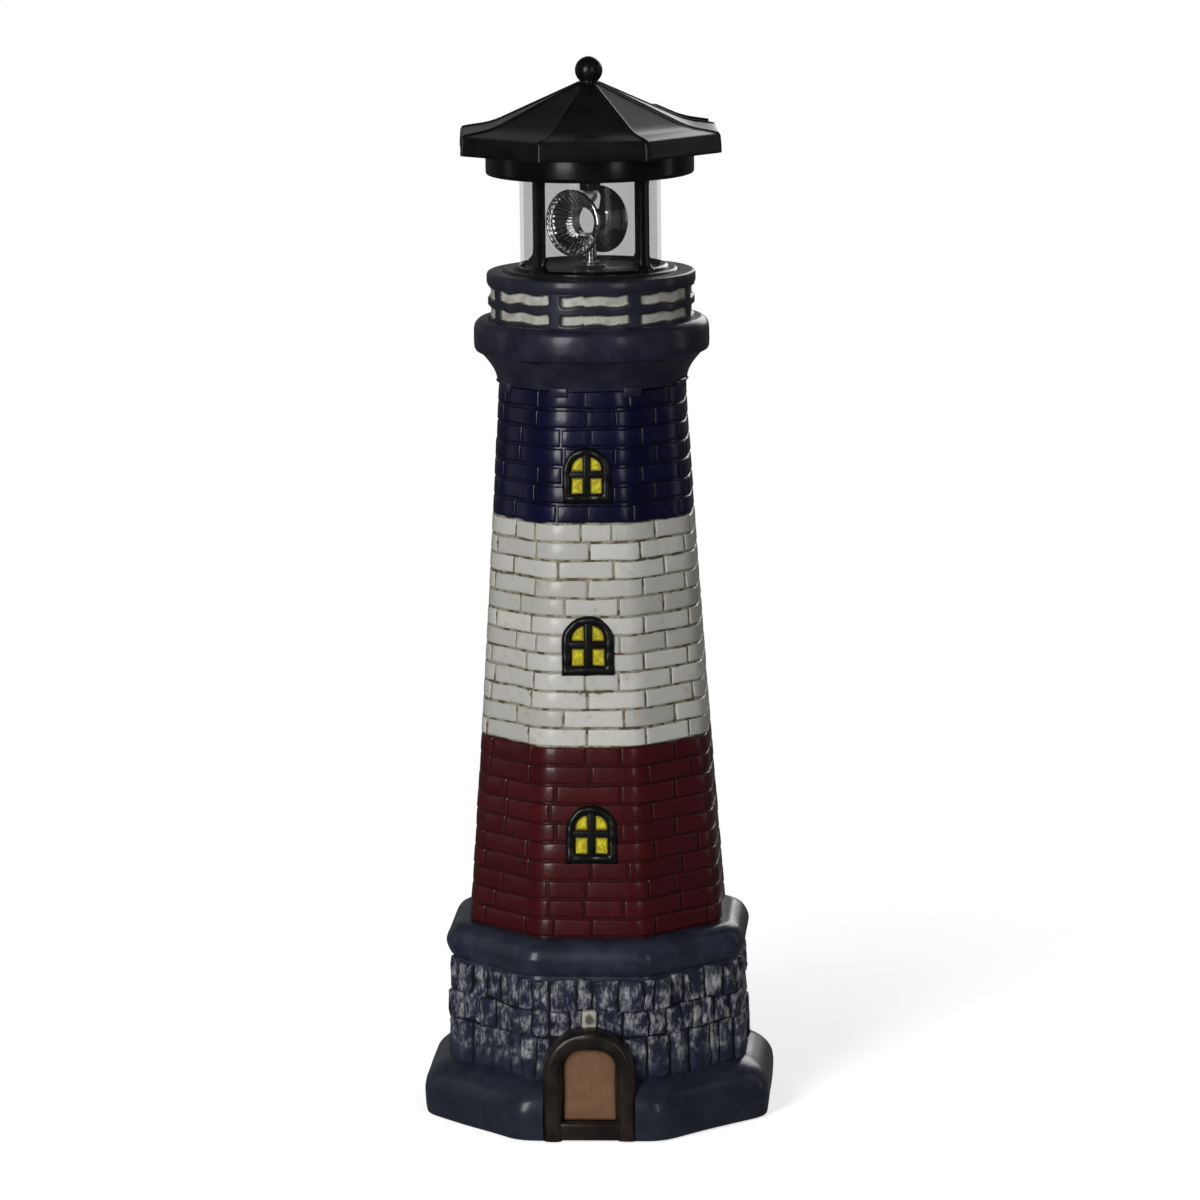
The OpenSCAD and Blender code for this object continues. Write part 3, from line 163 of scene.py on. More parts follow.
def skin(name, rings, loop=True, marks=None):
    """Joins rings of equal count, in millimetres, into a smooth closed skin. The stack
    closes on itself, or is capped at both ends. marks are values kept at the points."""
    count, stack = len(rings[0]), len(rings)
    faces = []
    for a in range(stack if loop else stack - 1):
        b = (a + 1) % stack
        for i in range(count):
            j = (i + 1) % count
            faces.append((a * count + i, a * count + j, b * count + j, b * count + i))
    if not loop:
        faces.append(tuple(range(count)))
        faces.append(tuple((stack - 1) * count + i for i in range(count)))
    mesh = bpy.data.meshes.new(name)
    mesh.from_pydata([tuple(c * MM for c in p) for ring in rings for p in ring], [], faces)
    for mark, values in (marks or {}).items():
        mark_points(mesh, mark, values)
    return face_out(smooth(linked(name, mesh)))


def even_points(outline, count, closed=True):
    """Spreads points evenly along an outline, from its first point."""
    line = outline + outline[:1] if closed else outline
    steps = [math.dist(a, b) for a, b in zip(line, line[1:])]
    total, spread, walked, k = sum(steps), [], 0.0, 0
    for i in range(count):
        target = total * i / (count if closed else count - 1)
        while k < len(steps) - 1 and walked + steps[k] < target:
            walked += steps[k]
            k += 1
        t = min(1.0, (target - walked) / max(steps[k], 1e-9))
        spread.append(tuple(a + (b - a) * t for a, b in zip(line[k], line[k + 1])))
    return spread


def octagon(half, corner, count):
    """Octagon with rounded corners and a flat at the front, as even (x, y) points."""
    outline = [(0.0, -half)]
    for k in range(8):
        middle = math.radians(-67.5 + 45 * k)
        reach = (half - corner) / math.cos(math.radians(22.5))
        for i in range(9):
            a = middle + math.radians(-22.5 + 45 * i / 8)
            outline.append((
                reach * math.cos(middle) + corner * math.cos(a),
                reach * math.sin(middle) + corner * math.sin(a),
            ))
    return even_points(outline, count)


def circle(radius, count):
    angles = [math.radians(360 * i / count - 90.0) for i in range(count)]
    return [(radius * math.cos(a), radius * math.sin(a)) for a in angles]


def at(ring, z):
    return [(x, y, z) for x, y in ring]


def turned(name, profile, count=96, loop=True):
    """A turned piece from (radius, height) points."""
    return skin(name, [at(circle(r, count), z) for r, z in profile], loop)


def soft_line(points, steps):
    """A soft curve through points, for profiles."""
    ends = [points[0]] + list(points) + [points[-1]]
    line = []
    for a, b, c, d in zip(ends, ends[1:], ends[2:], ends[3:]):
        for i in range(steps):
            t = i / steps
            line.append(tuple(
                q + 0.5 * t * (r - p + t * (2 * p - 5 * q + 4 * r - s + t * (3 * (q - r) + s - p)))
                for p, q, r, s in zip(a, b, c, d)
            ))
    return line + [tuple(points[-1])]


def soft_step(x, edge, width):
    """0 before an edge, 1 after it, smooth over a width."""
    t = min(1.0, max(0.0, (x - edge) / width + 0.5))
    return t * t * (3 - 2 * t)


def uneven(x, y, z, size, seed=0.0):
    """Smooth noise from about -1 to 1 with features of about size millimetres."""
    return noise.noise(Vector((x / size + seed, y / size - seed, z / size + 2 * seed)))


def hand_cast(piece, amount, size, seed):
    """Moves points a little along their normals, as poured and fettled castings are uneven."""
    mesh = piece.data
    normals = [v.normal.copy() for v in mesh.vertices]
    for v, n in zip(mesh.vertices, normals):
        v.co += n * amount * MM * uneven(*(c / MM for c in v.co), size, seed)
    mesh.update()
    return piece


def cut(piece, tool):
    """Cuts the tool's solid out of a piece, and removes the tool."""
    modifier = piece.modifiers.new("cut", "BOOLEAN")
    modifier.operation, modifier.solver, modifier.object = "DIFFERENCE", "EXACT", tool
    mesh = bpy.data.meshes.new_from_object(piece.evaluated_get(bpy.context.evaluated_depsgraph_get()))
    piece.modifiers.clear()
    piece.data = mesh
    bpy.data.objects.remove(tool)
    return piece


def joined(name, pieces):
    """One piece from several."""
    work = bmesh.new()
    for piece in pieces:
        work.from_mesh(piece.data)
        bpy.data.objects.remove(piece)
    mesh = bpy.data.meshes.new(name)
    work.to_mesh(mesh)
    work.free()
    return linked(name, mesh)


def placed(piece, matrix):
    """Moves a piece's points, and leaves its object at the origin."""
    scale = Matrix.Scale(MM, 4)
    piece.data.transform(scale @ matrix @ scale.inverted())
    piece.data.update()
    return piece


def finished(piece, material, body, slot, *nodes, crease=40):
    """Gives a piece its finish and lets it ride on its body in place of its solids.
    Edges that turn by more than the crease angle stay sharp."""
    piece.data.set_sharp_from_angle(angle=math.radians(crease))
    piece.data.materials.clear()
    piece.data.materials.append(material)
    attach(piece, body)
    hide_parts(*nodes)
    print("%s: %d faces" % (piece.name, len(piece.data.polygons)))
    return piece


print("an octagon ring is", len(octagon(50, 10, 160)), "points")

# %% [markdown]
# ## Node expressions
#
# A finish or a growth rule is easier to read as arithmetic than as a page of links.
# `Wire` holds one output socket and overloads the usual operators, each of which adds
# a Math node. `Nodes` adds any other node from its type, its settings and its inputs.

# %% Wire and Nodes
class Wire:
    """An output socket that is used like a number."""

    def __init__(self, nodes, socket):
        self.nodes, self.socket = nodes, socket

    def math(self, operation, *values):
        made = self.nodes.node("ShaderNodeMath", {"operation": operation}, dict(enumerate(values)))
        return self.nodes.out(made)

    def __add__(self, other):
        return self.math("ADD", self, other)

    def __sub__(self, other):
        return self.math("SUBTRACT", self, other)

    def __rsub__(self, other):
        return self.math("SUBTRACT", other, self)

    def __mul__(self, other):
        return self.math("MULTIPLY", self, other)

    def __truediv__(self, other):
        return self.math("DIVIDE", self, other)

    def sine(self):
        return self.math("SINE", self)

    def saw(self, period):
        """0 to 1 again and again along the value."""
        return self.math("FRACT", self / period)

    def most(self, other):
        return self.math("MAXIMUM", self, other)

    def rise(self, start, end):
        """0 before start, 1 after end, smooth between."""
        values = {"Value": self, "From Min": min(start, end), "From Max": max(start, end)}
        values.update({"To Min": 0.0, "To Max": 1.0} if start < end else {"To Min": 1.0, "To Max": 0.0})
        made = self.nodes.node("ShaderNodeMapRange", {"interpolation_type": "SMOOTHSTEP"}, values)
        return self.nodes.out(made)


class Nodes:
    """A node tree that is written as expressions."""

    def __init__(self, tree):
        self.tree = tree

    def node(self, kind, settings=None, inputs=None):
        made = self.tree.nodes.new(kind)
        for name, value in (settings or {}).items():
            setattr(made, name, value)
        for name, value in (inputs or {}).items():
            self.feed(made.inputs[name], value)
        return made

    def feed(self, socket, value):
        if isinstance(value, Wire):
            self.tree.links.new(value.socket, socket)
        elif socket.type == "RGBA":
            socket.default_value = (*value, 1.0)
        else:
            socket.default_value = value

    def out(self, made, name=0):
        return Wire(self, made.outputs[name])

    def vector(self, operation, *values, name=0):
        return self.out(
            self.node("ShaderNodeVectorMath", {"operation": operation}, dict(enumerate(values))), name
        )

    def parts(self, wire):
        made = self.node("ShaderNodeSeparateXYZ", None, {0: wire})
        return [self.out(made, i) for i in range(3)]


class Finish(Nodes):
    """One material."""

    def __init__(self, name):
        self.material = bpy.data.materials.new(name)
        self.material.use_nodes = True
        super().__init__(self.material.node_tree)
        self.tree.nodes.clear()
        self.shader = self.node("ShaderNodeBsdfPrincipled")
        self.end = self.node("ShaderNodeOutputMaterial", None, {"Surface": self.out(self.shader)})
        self.place = self.out(self.node("ShaderNodeTexCoord"), "Object")
        self.x, self.y, self.z = self.parts(self.place)

    def stretched(self, x, y, z):
        return self.out(self.node("ShaderNodeMapping", None, {"Vector": self.place, "Scale": (x, y, z)}))

    def cloud(self, size, detail=3.0, rough=0.55, where=None):
        """Noise from 0 to 1 with features of about size millimetres."""
        values = {
            "Vector": where or self.place, "Scale": 1.0 / (size * MM), "Detail": detail, "Roughness": rough
        }
        return self.out(self.node("ShaderNodeTexNoise", None, values))

    def cells(self, size, feature="F1"):
        values = {"Vector": self.place, "Scale": 1.0 / (size * MM)}
        return self.out(self.node("ShaderNodeTexVoronoi", {"feature": feature}, values), "Distance")

    def mark(self, name):
        """A value that the mesh keeps at its points."""
        return self.out(self.node("ShaderNodeAttribute", {"attribute_name": name}), "Fac")

    def mix(self, mask, first, second):
        """Mixes two colours, by a mask from 0 to 1."""
        return self.out(self.node("ShaderNodeMix", {"data_type": "RGBA"}, {0: mask, 6: first, 7: second}), 2)

    def bump(self, height, depth, under=None):
        """A bump from a height of 0 to 1, depth millimetres deep."""
        values = {"Height": height, "Distance": depth * MM, "Strength": 1.0}
        if under:
            values["Normal"] = under
        return self.out(self.node("ShaderNodeBump", None, values))

    def set(self, **values):
        """Sets the shader's sockets, with an underscore for each space."""
        for name, value in values.items():
            self.feed(self.shader.inputs[name.replace("_", " ")], value)


print("node expressions ready")

# %% [markdown]
# ## Varnished paint
#
# The castings are brushed with paint and then varnished, so every painted finish has
# a clear coat with slow waves in it and a colour that drifts a little. One function
# makes that ground, and each painted finish says what is its own.

# %% Paint under varnish
def varnish(finish, colour, rough=0.4, coat=0.3, wave=0.06, under=None):
    broad = finish.cloud(13.0, 2.0)
    fine = finish.cloud(1.2, 3.0)
    finish.set(
        Base_Color=colour,
        Roughness=(fine - 0.5) * 0.16 + rough,
        Specular_IOR_Level=0.1,
        Coat_Weight=((broad - 0.5) * 1.2 + 1.0) * (coat * 0.4),
        Coat_Roughness=0.16,
        Normal=finish.bump(broad * 0.75 + fine * 0.25, wave, under),
    )
    return finish.material


def drift(finish, dark, light, size=9.0):
    """Two near colours that drift into each other."""
    return finish.mix(finish.cloud(size, 4.0).rise(0.36, 0.64), dark, light)


def slate_paint():
    finish = Finish("slate_paint")
    colour = drift(finish, (0.012, 0.015, 0.026), (0.021, 0.025, 0.041))
    # behind is painted shade: it darkens the casting between 19.6 and 53.8 mm, where it shows in the gaps
    # between the stones.
    behind = finish.z.rise(0.0196, 0.0204) * finish.z.rise(0.0538, 0.0530)
    low = finish.z.rise(0.022, 0.012)
    colour = finish.mix(low * 0.55, colour, (0.011, 0.0115, 0.018))
    colour = finish.mix(behind, colour, (0.005, 0.0055, 0.008))
    return varnish(finish, colour, rough=0.34, coat=0.5, wave=0.14)


SLATE = slate_paint()
print("made", SLATE.name)

# %% [markdown]
# ## Brick paint
#
# One finish covers the whole shaft: dark red below, greyish white in the middle and
# near-black blue above. The bricks keep two marks at their points: `rise` is 1 on a
# face and 0 down in a joint, and `tone` differs from brick to brick. In the white band
# the joints are stained olive and rust, and dirt has settled along their edges.

# %% Banded brick paint
def brick_paint():
    finish = Finish("brick_paint")
    height = finish.z + (finish.cloud(7.0, 2.0) - 0.5) * 0.0016
    in_red = height.rise(BANDS[1] * MM + 0.0003, BANDS[1] * MM - 0.0003)
    in_blue = height.rise(BANDS[2] * MM - 0.0003, BANDS[2] * MM + 0.0003)
    rise, tone = finish.mark("rise"), finish.mark("tone")
    cloud, speck = finish.cloud(5.0, 4.0), finish.cloud(0.9, 3.0)
    face = (rise + (speck - 0.5) * 0.9 + (cloud - 0.5) * 1.3).rise(0.3, 0.85)
    white = finish.mix(tone, (0.37, 0.361, 0.333), (0.49, 0.481, 0.45))
    white = finish.mix(cloud.rise(0.56, 0.8) * 0.6, white, (0.28, 0.262, 0.215))
    stain = finish.mix(finish.cloud(8.0, 3.0).rise(0.5, 0.68), (0.075, 0.066, 0.036), (0.15, 0.085, 0.05))
    stain = finish.mix(finish.cloud(3.5, 3.0).rise(0.46, 0.60), (0.25, 0.235, 0.18), stain)
    white = finish.mix(face, stain, white)
    red = finish.mix(tone, (0.036, 0.0028, 0.0040), (0.047, 0.0038, 0.0054))
    red = finish.mix(face, (0.025, 0.0026, 0.0034), red)
    blue = finish.mix(tone, (0.0016, 0.0017, 0.0145), (0.0026, 0.0028, 0.0225))
    blue = finish.mix(face, (0.0014, 0.0015, 0.0095), blue)
    colour = finish.mix(in_blue, finish.mix(in_red, white, red), blue)
    return varnish(finish, colour, rough=0.34, coat=0.55, wave=0.26)


BRICK = brick_paint()
print("made", BRICK.name)

# %% [markdown]
# ## Dry-brushed stone
#
# The stone wall is slate blue, with off-white paint dragged over it on a nearly dry
# brush. It catches on what stands highest, in short upright strokes. The stones keep
# `rise` and `ridge`, the height of their rough faces, and the strokes are noise
# stretched upright.

# %% Stone paint
def stone_paint():
    finish = Finish("stone_paint")
    rise, ridge = finish.mark("rise"), finish.mark("ridge")
    strokes = finish.cloud(1.3, 5.0, 0.75, finish.stretched(1.0, 1.0, 0.45))
    patch = finish.cloud(5.5, 3.0)
    colour = finish.mix(patch.rise(0.4, 0.62), (0.013, 0.016, 0.030), (0.026, 0.030, 0.050))
    colour = finish.mix(rise.rise(-0.2, 0.5), (0.012, 0.014, 0.021), colour)
    fade = (finish.z + (patch - 0.5) * 0.012).rise(0.0225, 0.031)
    brushed = (strokes + (ridge - 0.5) * 0.9 + (patch - 0.5) * 0.5).rise(0.42, 0.82)
    colour = finish.mix(brushed * rise.rise(0.0, 0.7) * fade, colour, (0.36, 0.365, 0.375))
    return varnish(finish, colour, rough=0.5, coat=0.3, wave=0.05, under=finish.bump(strokes, 0.9))


STONE = stone_paint()
print("made", STONE.name)

# %% [markdown]
# ## Base casting
#
# Plinth, wall and ledge are one hollow casting. Its outside is a stack of octagons
# with soft corners; inside it has the seat for the cover, the hollow and the bore for
# the shaft. The whole form is a single closed stack of rings, uneven by a quarter of a
# millimetre, with an arched pocket cut for the door.

# %% Base casting
# Each (share of the height, how far it falls short of the full half width).
PLINTH_SIDE = (
    (0, 1.6), (0.012, 1.0), (0.04, 0.7), (0.14, 0.45), (0.28, 0.3), (0.45, 0.2),
    (0.6, 0.5), (0.72, 1.2), (0.82, 2.4), (0.9, 4.0), (0.96, 5.8), (0.985, 6.8),
)
LEDGE_SIDE = (
    (0.0, 3.6), (0.03, 2.9), (0.09, 2.1), (0.2, 1.2), (0.36, 0.4), (0.5, 0.15),
    (0.64, 0.6), (0.77, 1.4), (0.88, 2.5), (0.95, 3.9), (0.985, 5.2), (0.995, 6.6),
)
outside = [
    (PLINTH[0] + (PLINTH[1] - PLINTH[0]) * t, PLINTH_HALF - o, 9.0 + 3 * min(o, 2.0))
    for t, o in PLINTH_SIDE
]
outside += [(19.6, 50.4, 10.0), (21.0, 49.7, 10.0), (37.0, 49.2, 10.0), (53.6, 48.6, 10.0)]
outside += [(LEDGE[0] + (LEDGE[1] - LEDGE[0]) * t, LEDGE_HALF - o, 10.0) for t, o in LEDGE_SIDE]
inside = [(66.9, 38.0), (55.0, 37.7), (55.0, 41.5), (4.0, 41.5), (4.0, 46.1), (0.7, 46.1)]
rings = [at(octagon(half, corner, 256), z) for z, half, corner in soft_line(outside, 3)]
rings += [at(circle(r, 256), z) for z, r in inside]
base = hand_cast(skin("base", rings), 0.22, 17.0, 3.0)


def arch(width, height, count=24):
    """Round-headed outline from its left foot, over the top, to its right foot."""
    r = width / 2
    curve = [
        (-r * math.cos(math.pi * i / count), height - r + r * math.sin(math.pi * i / count))
        for i in range(count + 1)
    ]
    return [(-r, 0.0)] + curve + [(r, 0.0)]


def upright(name, outline, front, back):
    """A solid between two depths with its outline standing in the x-z plane."""
    return skin(name, [[(x, y, z) for x, z in outline] for y in (front, back)], loop=False)


pocket = upright("pocket", [(x, z - 0.2) for x, z in arch(31.0, 38.1)], -62.0, -47.0)
base = smooth(cut(base, pocket))
finished(base, SLATE, "tower", "slate_paint", "base_casting")

# %% [markdown]
# ## Blocks that wrap round the tower
#
# Bricks and stones are the same idea: many small blocks with soft edges, laid in
# courses round an octagon that narrows as it rises. A layout mesh holds one point for
# each block. The growth rule puts a block on every point, then bends it round two
# guide paths, one at the foot and one at the head of the wall, by its share of the way
# round. It pushes each block out by its depth and roughens its face.

# %% Growth rule for wrapped blocks
class Growth(Nodes):
    """One Geometry Nodes tree with named inputs."""

    def __init__(self, name, **inputs):
        super().__init__(bpy.data.node_groups.new(name, "GeometryNodeTree"))
        self.tree.interface.new_socket("Geometry", in_out="INPUT", socket_type="NodeSocketGeometry")
        for label, kind in inputs.items():
            self.tree.interface.new_socket(label, in_out="INPUT", socket_type="NodeSocket" + kind)
        self.tree.interface.new_socket("Geometry", in_out="OUTPUT", socket_type="NodeSocketGeometry")
        self.entry = self.node("NodeGroupInput")
        self.end = self.node("NodeGroupOutput")

    def given(self, label):
        return self.out(self.entry, label)

    def own(self, name, kind="FLOAT"):
        """A value kept at the points."""
        return self.out(self.node("GeometryNodeInputNamedAttribute", {"data_type": kind}, {"Name": name}))

    def keep(self, geometry, name, value):
        values = {"Geometry": geometry, "Name": name, "Value": value}
        return self.out(
            self.node("GeometryNodeStoreNamedAttribute", {"data_type": "FLOAT", "domain": "POINT"}, values)
        )

    def close(self, geometry, material):
        """Ends the rule with realized geometry, a smooth skin and its material."""
        real = self.out(self.node("GeometryNodeRealizeInstances", None, {0: geometry}))
        smooth = self.out(self.node("GeometryNodeSetShadeSmooth", None, {"Geometry": real}))
        self.feed(
            self.end.inputs[0],
            self.out(self.node("GeometryNodeSetMaterial", None, {"Geometry": smooth, "Material": material}))
        )


def wrap_rule():
    rule = Growth(
        "wrapped_blocks", Block="Object", Foot_Path="Object", Head_Path="Object", Foot="Float", Head="Float",
        Bow="Float", Depth="Float", Rough="Float", Grain="Float", Wander="Float", Paint="Material",
    )
    block = rule.out(rule.node("GeometryNodeObjectInfo", None, {"Object": rule.given("Block")}), "Geometry")
    laid = rule.node(
        "GeometryNodeInstanceOnPoints", None, {"Points": rule.given("Geometry"), "Instance": block}
    )
    real = rule.out(rule.node("GeometryNodeRealizeInstances", None, {0: rule.out(laid)}))
    spot_x, spot_y, level = rule.parts(rule.own("spot", "FLOAT_VECTOR"))
    share, height, half = rule.parts(rule.own("place", "FLOAT_VECTOR"))
    round_share = rule.out(
        rule.node("ShaderNodeMath", {"operation": "FRACT"}, {0: share + spot_x * half + 1.0})
    )
    z = height + spot_y * rule.own("tall")
    climb = (z - rule.given("Foot")) / (rule.given("Head") - rule.given("Foot"))
    ends = []
    for path in ("Foot_Path", "Head_Path"):
        curve = rule.out(rule.node("GeometryNodeObjectInfo", None, {"Object": rule.given(path)}), "Geometry")
        ends.append(
            rule.node("GeometryNodeSampleCurve", {"mode": "FACTOR"}, {"Curves": curve, "Factor": round_share})
        )
    mixed = rule.node("ShaderNodeMix", {"data_type": "VECTOR", "clamp_factor": False}, {
        0: climb, 4: rule.out(ends[0], "Position"), 5: rule.out(ends[1], "Position"),
    })
    outward = rule.vector(
        "NORMALIZE", rule.vector("CROSS_PRODUCT", rule.out(ends[0], "Tangent"), (0.0, 0.0, 1.0))
    )
    flat = rule.vector("MULTIPLY", rule.out(mixed, 1), (1.0, 1.0, 0.0))
    raised = rule.node("ShaderNodeCombineXYZ", None, {2: z})
    there = rule.vector("ADD", flat, rule.out(raised))
    drifting = rule.out(
        rule.node(
            "ShaderNodeTexNoise", None, {"Vector": there, "Scale": rule.given("Grain") * 0.4, "Detail": 2.0}
        ),
        "Color"
    )
    straying = rule.node("ShaderNodeVectorMath", {"operation": "SCALE"}, {
        0: rule.vector("SUBTRACT", drifting, (0.5, 0.5, 0.5)), "Scale": rule.given("Wander") * 2.0,
    })
    along = rule.vector("SUBTRACT", rule.out(straying), rule.vector("MULTIPLY", outward, rule.vector(
        "MULTIPLY", outward, rule.out(straying))))
    there = rule.vector("ADD", there, along)
    grain = rule.node(
        "ShaderNodeTexNoise", None, {"Vector": there, "Scale": rule.given("Grain"), "Detail": 3.0}
    )
    push = (level - 1.0) * rule.given("Depth") - (climb * math.pi).sine() * rule.given("Bow")
    push = (
        push + (rule.out(grain) - 0.5) * rule.given("Rough") * level
        + (rule.own("tone") - 0.5) * rule.given("Rough") * 0.5
    )
    moved = rule.node("GeometryNodeSetPosition", None, {
        "Geometry": real, "Position": rule.vector("ADD", there, rule.vector("MULTIPLY", outward, rule.out(
            rule.node("ShaderNodeCombineXYZ", None, {0: push, 1: push, 2: push})))),
    })
    kept = rule.keep(rule.out(moved), "rise", level)
    kept = rule.keep(kept, "ridge", rule.out(grain))
    rule.close(kept, rule.given("Paint"))
    return rule.tree


def grown(name, tree, source=None, **values):
    """Runs a growth rule once and returns its result as a plain mesh object."""
    holder = linked(name + "_holder", source or bpy.data.meshes.new(name + "_seed"))
    modifier = holder.modifiers.new("grow", "NODES")
    modifier.node_group = tree
    for item in tree.interface.items_tree:
        if item.in_out == "INPUT" and item.name in values:
            modifier[item.identifier] = values[item.name]
    graph = bpy.context.evaluated_depsgraph_get()
    made = bpy.data.meshes.new_from_object(holder.evaluated_get(graph), depsgraph=graph)
    bpy.data.objects.remove(holder)
    for value in values.values():
        if isinstance(value, bpy.types.Object):
            bpy.data.objects.remove(value)
    return face_out(linked(name, made))


WRAP = wrap_rule()
print("growth rule with", len(WRAP.nodes), "nodes")

# %% [markdown]
# ## One block, one path, one layout
#
# The block is a grid of a few dozen faces with a skirt round it. Each of its points
# keeps where it lies on the block, from -1 to 1 each way, and its level: 1 on the face,
# 0 at the foot of the joint.

# %% Block, path and layout
def block_object(name, columns, rows):
    """A block from the places of its columns and rows between -1 and 1."""
    wide, tall = len(columns), len(rows)
    spots = [
        (x, y, 0.86 if abs(x) == columns[-1] or abs(y) == rows[-1] else 1.0)
        for y in rows
        for x in columns
    ]
    faces = [(j * wide + i, j * wide + i + 1, (j + 1) * wide + i + 1, (j + 1) * wide + i)
             for j in range(tall - 1) for i in range(wide - 1)]
    rim = list(range(wide)) + [j * wide + wide - 1 for j in range(1, tall)]
    rim += [(tall - 1) * wide + i for i in range(wide - 2, -1, -1)] + [
        j * wide for j in range(tall - 2, 0, -1)
    ]
    foot = [len(spots) + i for i in range(len(rim))]
    for k in rim:
        x, y, _ = spots[k]
        spots.append(
            (x / columns[-1] if abs(x) == columns[-1] else x, y / rows[-1] if abs(y) == rows[-1] else y, -0.2)
        )
    faces += [(rim[i - 1], foot[i - 1], foot[i], rim[i]) for i in range(len(rim))]
    mesh = bpy.data.meshes.new(name)
    mesh.from_pydata(spots, [], faces)
    mark_points(mesh, "spot", [c for s in spots for c in s], "FLOAT_VECTOR")
    return linked(name, mesh)


def path_object(name, outline, z):
    curve = bpy.data.curves.new(name, "CURVE")
    curve.dimensions = "3D"
    line = curve.splines.new("POLY")
    line.points.add(len(outline) - 1)
    line.points.foreach_set("co", [c for x, y in outline for c in (x * MM, y * MM, z * MM, 1.0)])
    line.use_cyclic_u = True
    return linked(name, curve)


def layout_mesh(name, blocks):
    """blocks are (share of the way round, height, half width as a share, half height, tone)."""
    mesh = bpy.data.meshes.new(name)
    mesh.from_pydata([(b[0], 0.0, b[1] * MM) for b in blocks], [], [])
    mark_points(mesh, "place", [c for b in blocks for c in (b[0], b[1] * MM, b[2])], "FLOAT_VECTOR")
    mark_points(mesh, "tall", [b[3] * MM for b in blocks])
    mark_points(mesh, "tone", [b[4] for b in blocks])
    return mesh


brick = block_object(
    "one_brick", (-0.97, -0.91, -0.6, -0.3, 0.0, 0.3, 0.6, 0.91, 0.97), (-0.9, -0.7, 0.7, 0.9)
)
print("one brick has", len(brick.data.polygons), "faces")

# %% [markdown]
# ## Shaft and its bricks
#
# The shaft tapers, bows in a little half way up and softens its corners as it rises.
# The core stops at the foot of the joints, and the bricks are laid on it in half bond,
# with a short brick here and there as in the modelled master.

# %% Shaft core
ROUND = 288  # points round the shaft and the guide paths
SHAFT_FOOT = octagon(SHAFT_WIDE, 9.0, ROUND)
SHAFT_HEAD = octagon(SHAFT_NARROW, 20.0, ROUND)
BOW, JOINT = 0.4, 0.45


def shaft_ring(z, out):
    t = (z - BANDS[0]) / (BANDS[3] - BANDS[0])
    ring = []
    for k, (a, b) in enumerate(zip(SHAFT_FOOT, SHAFT_HEAD)):
        x, y = a[0] + (b[0] - a[0]) * t, a[1] + (b[1] - a[1]) * t
        ahead, behind = SHAFT_FOOT[(k + 1) % ROUND], SHAFT_FOOT[k - 1]
        tangent = Vector((ahead[0] - behind[0], ahead[1] - behind[1])).normalized()
        push = out - BOW * math.sin(math.pi * t)
        ring.append((x + tangent.y * push, y - tangent.x * push, z))
    return ring


CORE_FOOT, CORE_HEAD = 66.0, 251.2
rows = [shaft_ring(CORE_FOOT + (CORE_HEAD - CORE_FOOT) * i / 48, -JOINT) for i in range(49)]
rows += [
    at(circle(r, ROUND), z)
    for r, z in ((26.4, 251.4), (26.4, 255.6), (23.7, 255.6), (34.3, 59.3), (37.5, 59.3), (37.5, 65.8))
]
shaft = skin("shaft", rows)
finished(shaft, BRICK, "tower", "banded_paint", "shaft_casting")

# %% Bricks
BRICKS_ROUND = 12
ROUND_PER_HALF = 6.6  # an octagon's length round, over its half width


def brick_layout(seed, joint):
    chooser = random.Random(seed)
    blocks = []
    for band, count in enumerate(COURSES):
        step = (BANDS[band + 1] - BANDS[band]) / count
        for course in range(count):
            widths = [chooser.uniform(0.9, 1.1) for _ in range(BRICKS_ROUND)]
            if chooser.random() < 0.55:
                widths[chooser.randrange(BRICKS_ROUND)] = 0.5
                widths.append(0.55)
            total = sum(widths)
            share = (0.5 if course % 2 else 0.0) / BRICKS_ROUND + chooser.uniform(-0.006, 0.006)
            climb = (band * 12 + course) / sum(COURSES)
            around = ROUND_PER_HALF * (SHAFT_WIDE - (SHAFT_WIDE - SHAFT_NARROW) * climb)
            for width in widths:
                half = width / total / 2
                middle = BANDS[band] + (course + 0.5) * step + chooser.uniform(-0.08, 0.08)
                blocks.append(
                    ((share + half) % 1.0, middle, half - joint / around, step / 2 - joint, chooser.random())
                )
                share += 2 * half
    return blocks


blocks = brick_layout(11, 0.22)
bricks = grown(
    "bricks", WRAP, layout_mesh("brick_layout", blocks), Block=brick,
    Foot_Path=path_object("foot_path", SHAFT_FOOT, BANDS[0]),
    Head_Path=path_object("head_path", SHAFT_HEAD, BANDS[3]),
    Foot=BANDS[0] * MM, Head=BANDS[3] * MM, Bow=BOW * MM, Depth=(JOINT + 0.05) * MM,
    Rough=0.42 * MM, Grain=210.0, Wander=0.55 * MM, Paint=BRICK,
)
print(len(blocks), "bricks in", sum(COURSES), "courses")
finished(bricks, BRICK, "tower", "banded_paint", "shaft_casting", crease=80)

# %% [markdown]
# ## Stone wall
#
# Three courses of narrow upright stones, of any width, with rough faces. They leave
# room for the door and for a pale keystone over it.

# %% Stones
KEYSTONE, DOOR_ROOM, WALL_ROUND = 2.7, 15, 402
WALL = (STONE_COURSES[0], STONE_COURSES[-1])


def stone_layout(seed):
    chooser = random.Random(seed)
    blocks = []
    for course, (foot, head) in enumerate(zip(STONE_COURSES, STONE_COURSES[1:])):
        start = KEYSTONE / WALL_ROUND if course == 1 else chooser.uniform(0, 0.01)
        share, room = start, 1 - 2 * start if course == 1 else 1.0
        widths = [chooser.uniform(0.6, 1.5) for _ in range(46)]
        for width in widths:
            half = width / sum(widths) * room / 2
            middle = (foot + head) / 2 + chooser.uniform(-0.4, 0.4)
            if course > 0 or abs((share + half + 0.5) % 1.0 - 0.5) * WALL_ROUND > DOOR_ROOM:
                blocks.append(
                    ((share + half) % 1.0, middle, half - 0.0003, (head - foot) / 2 - 0.05, chooser.random())
                )
            share += 2 * half
    return blocks


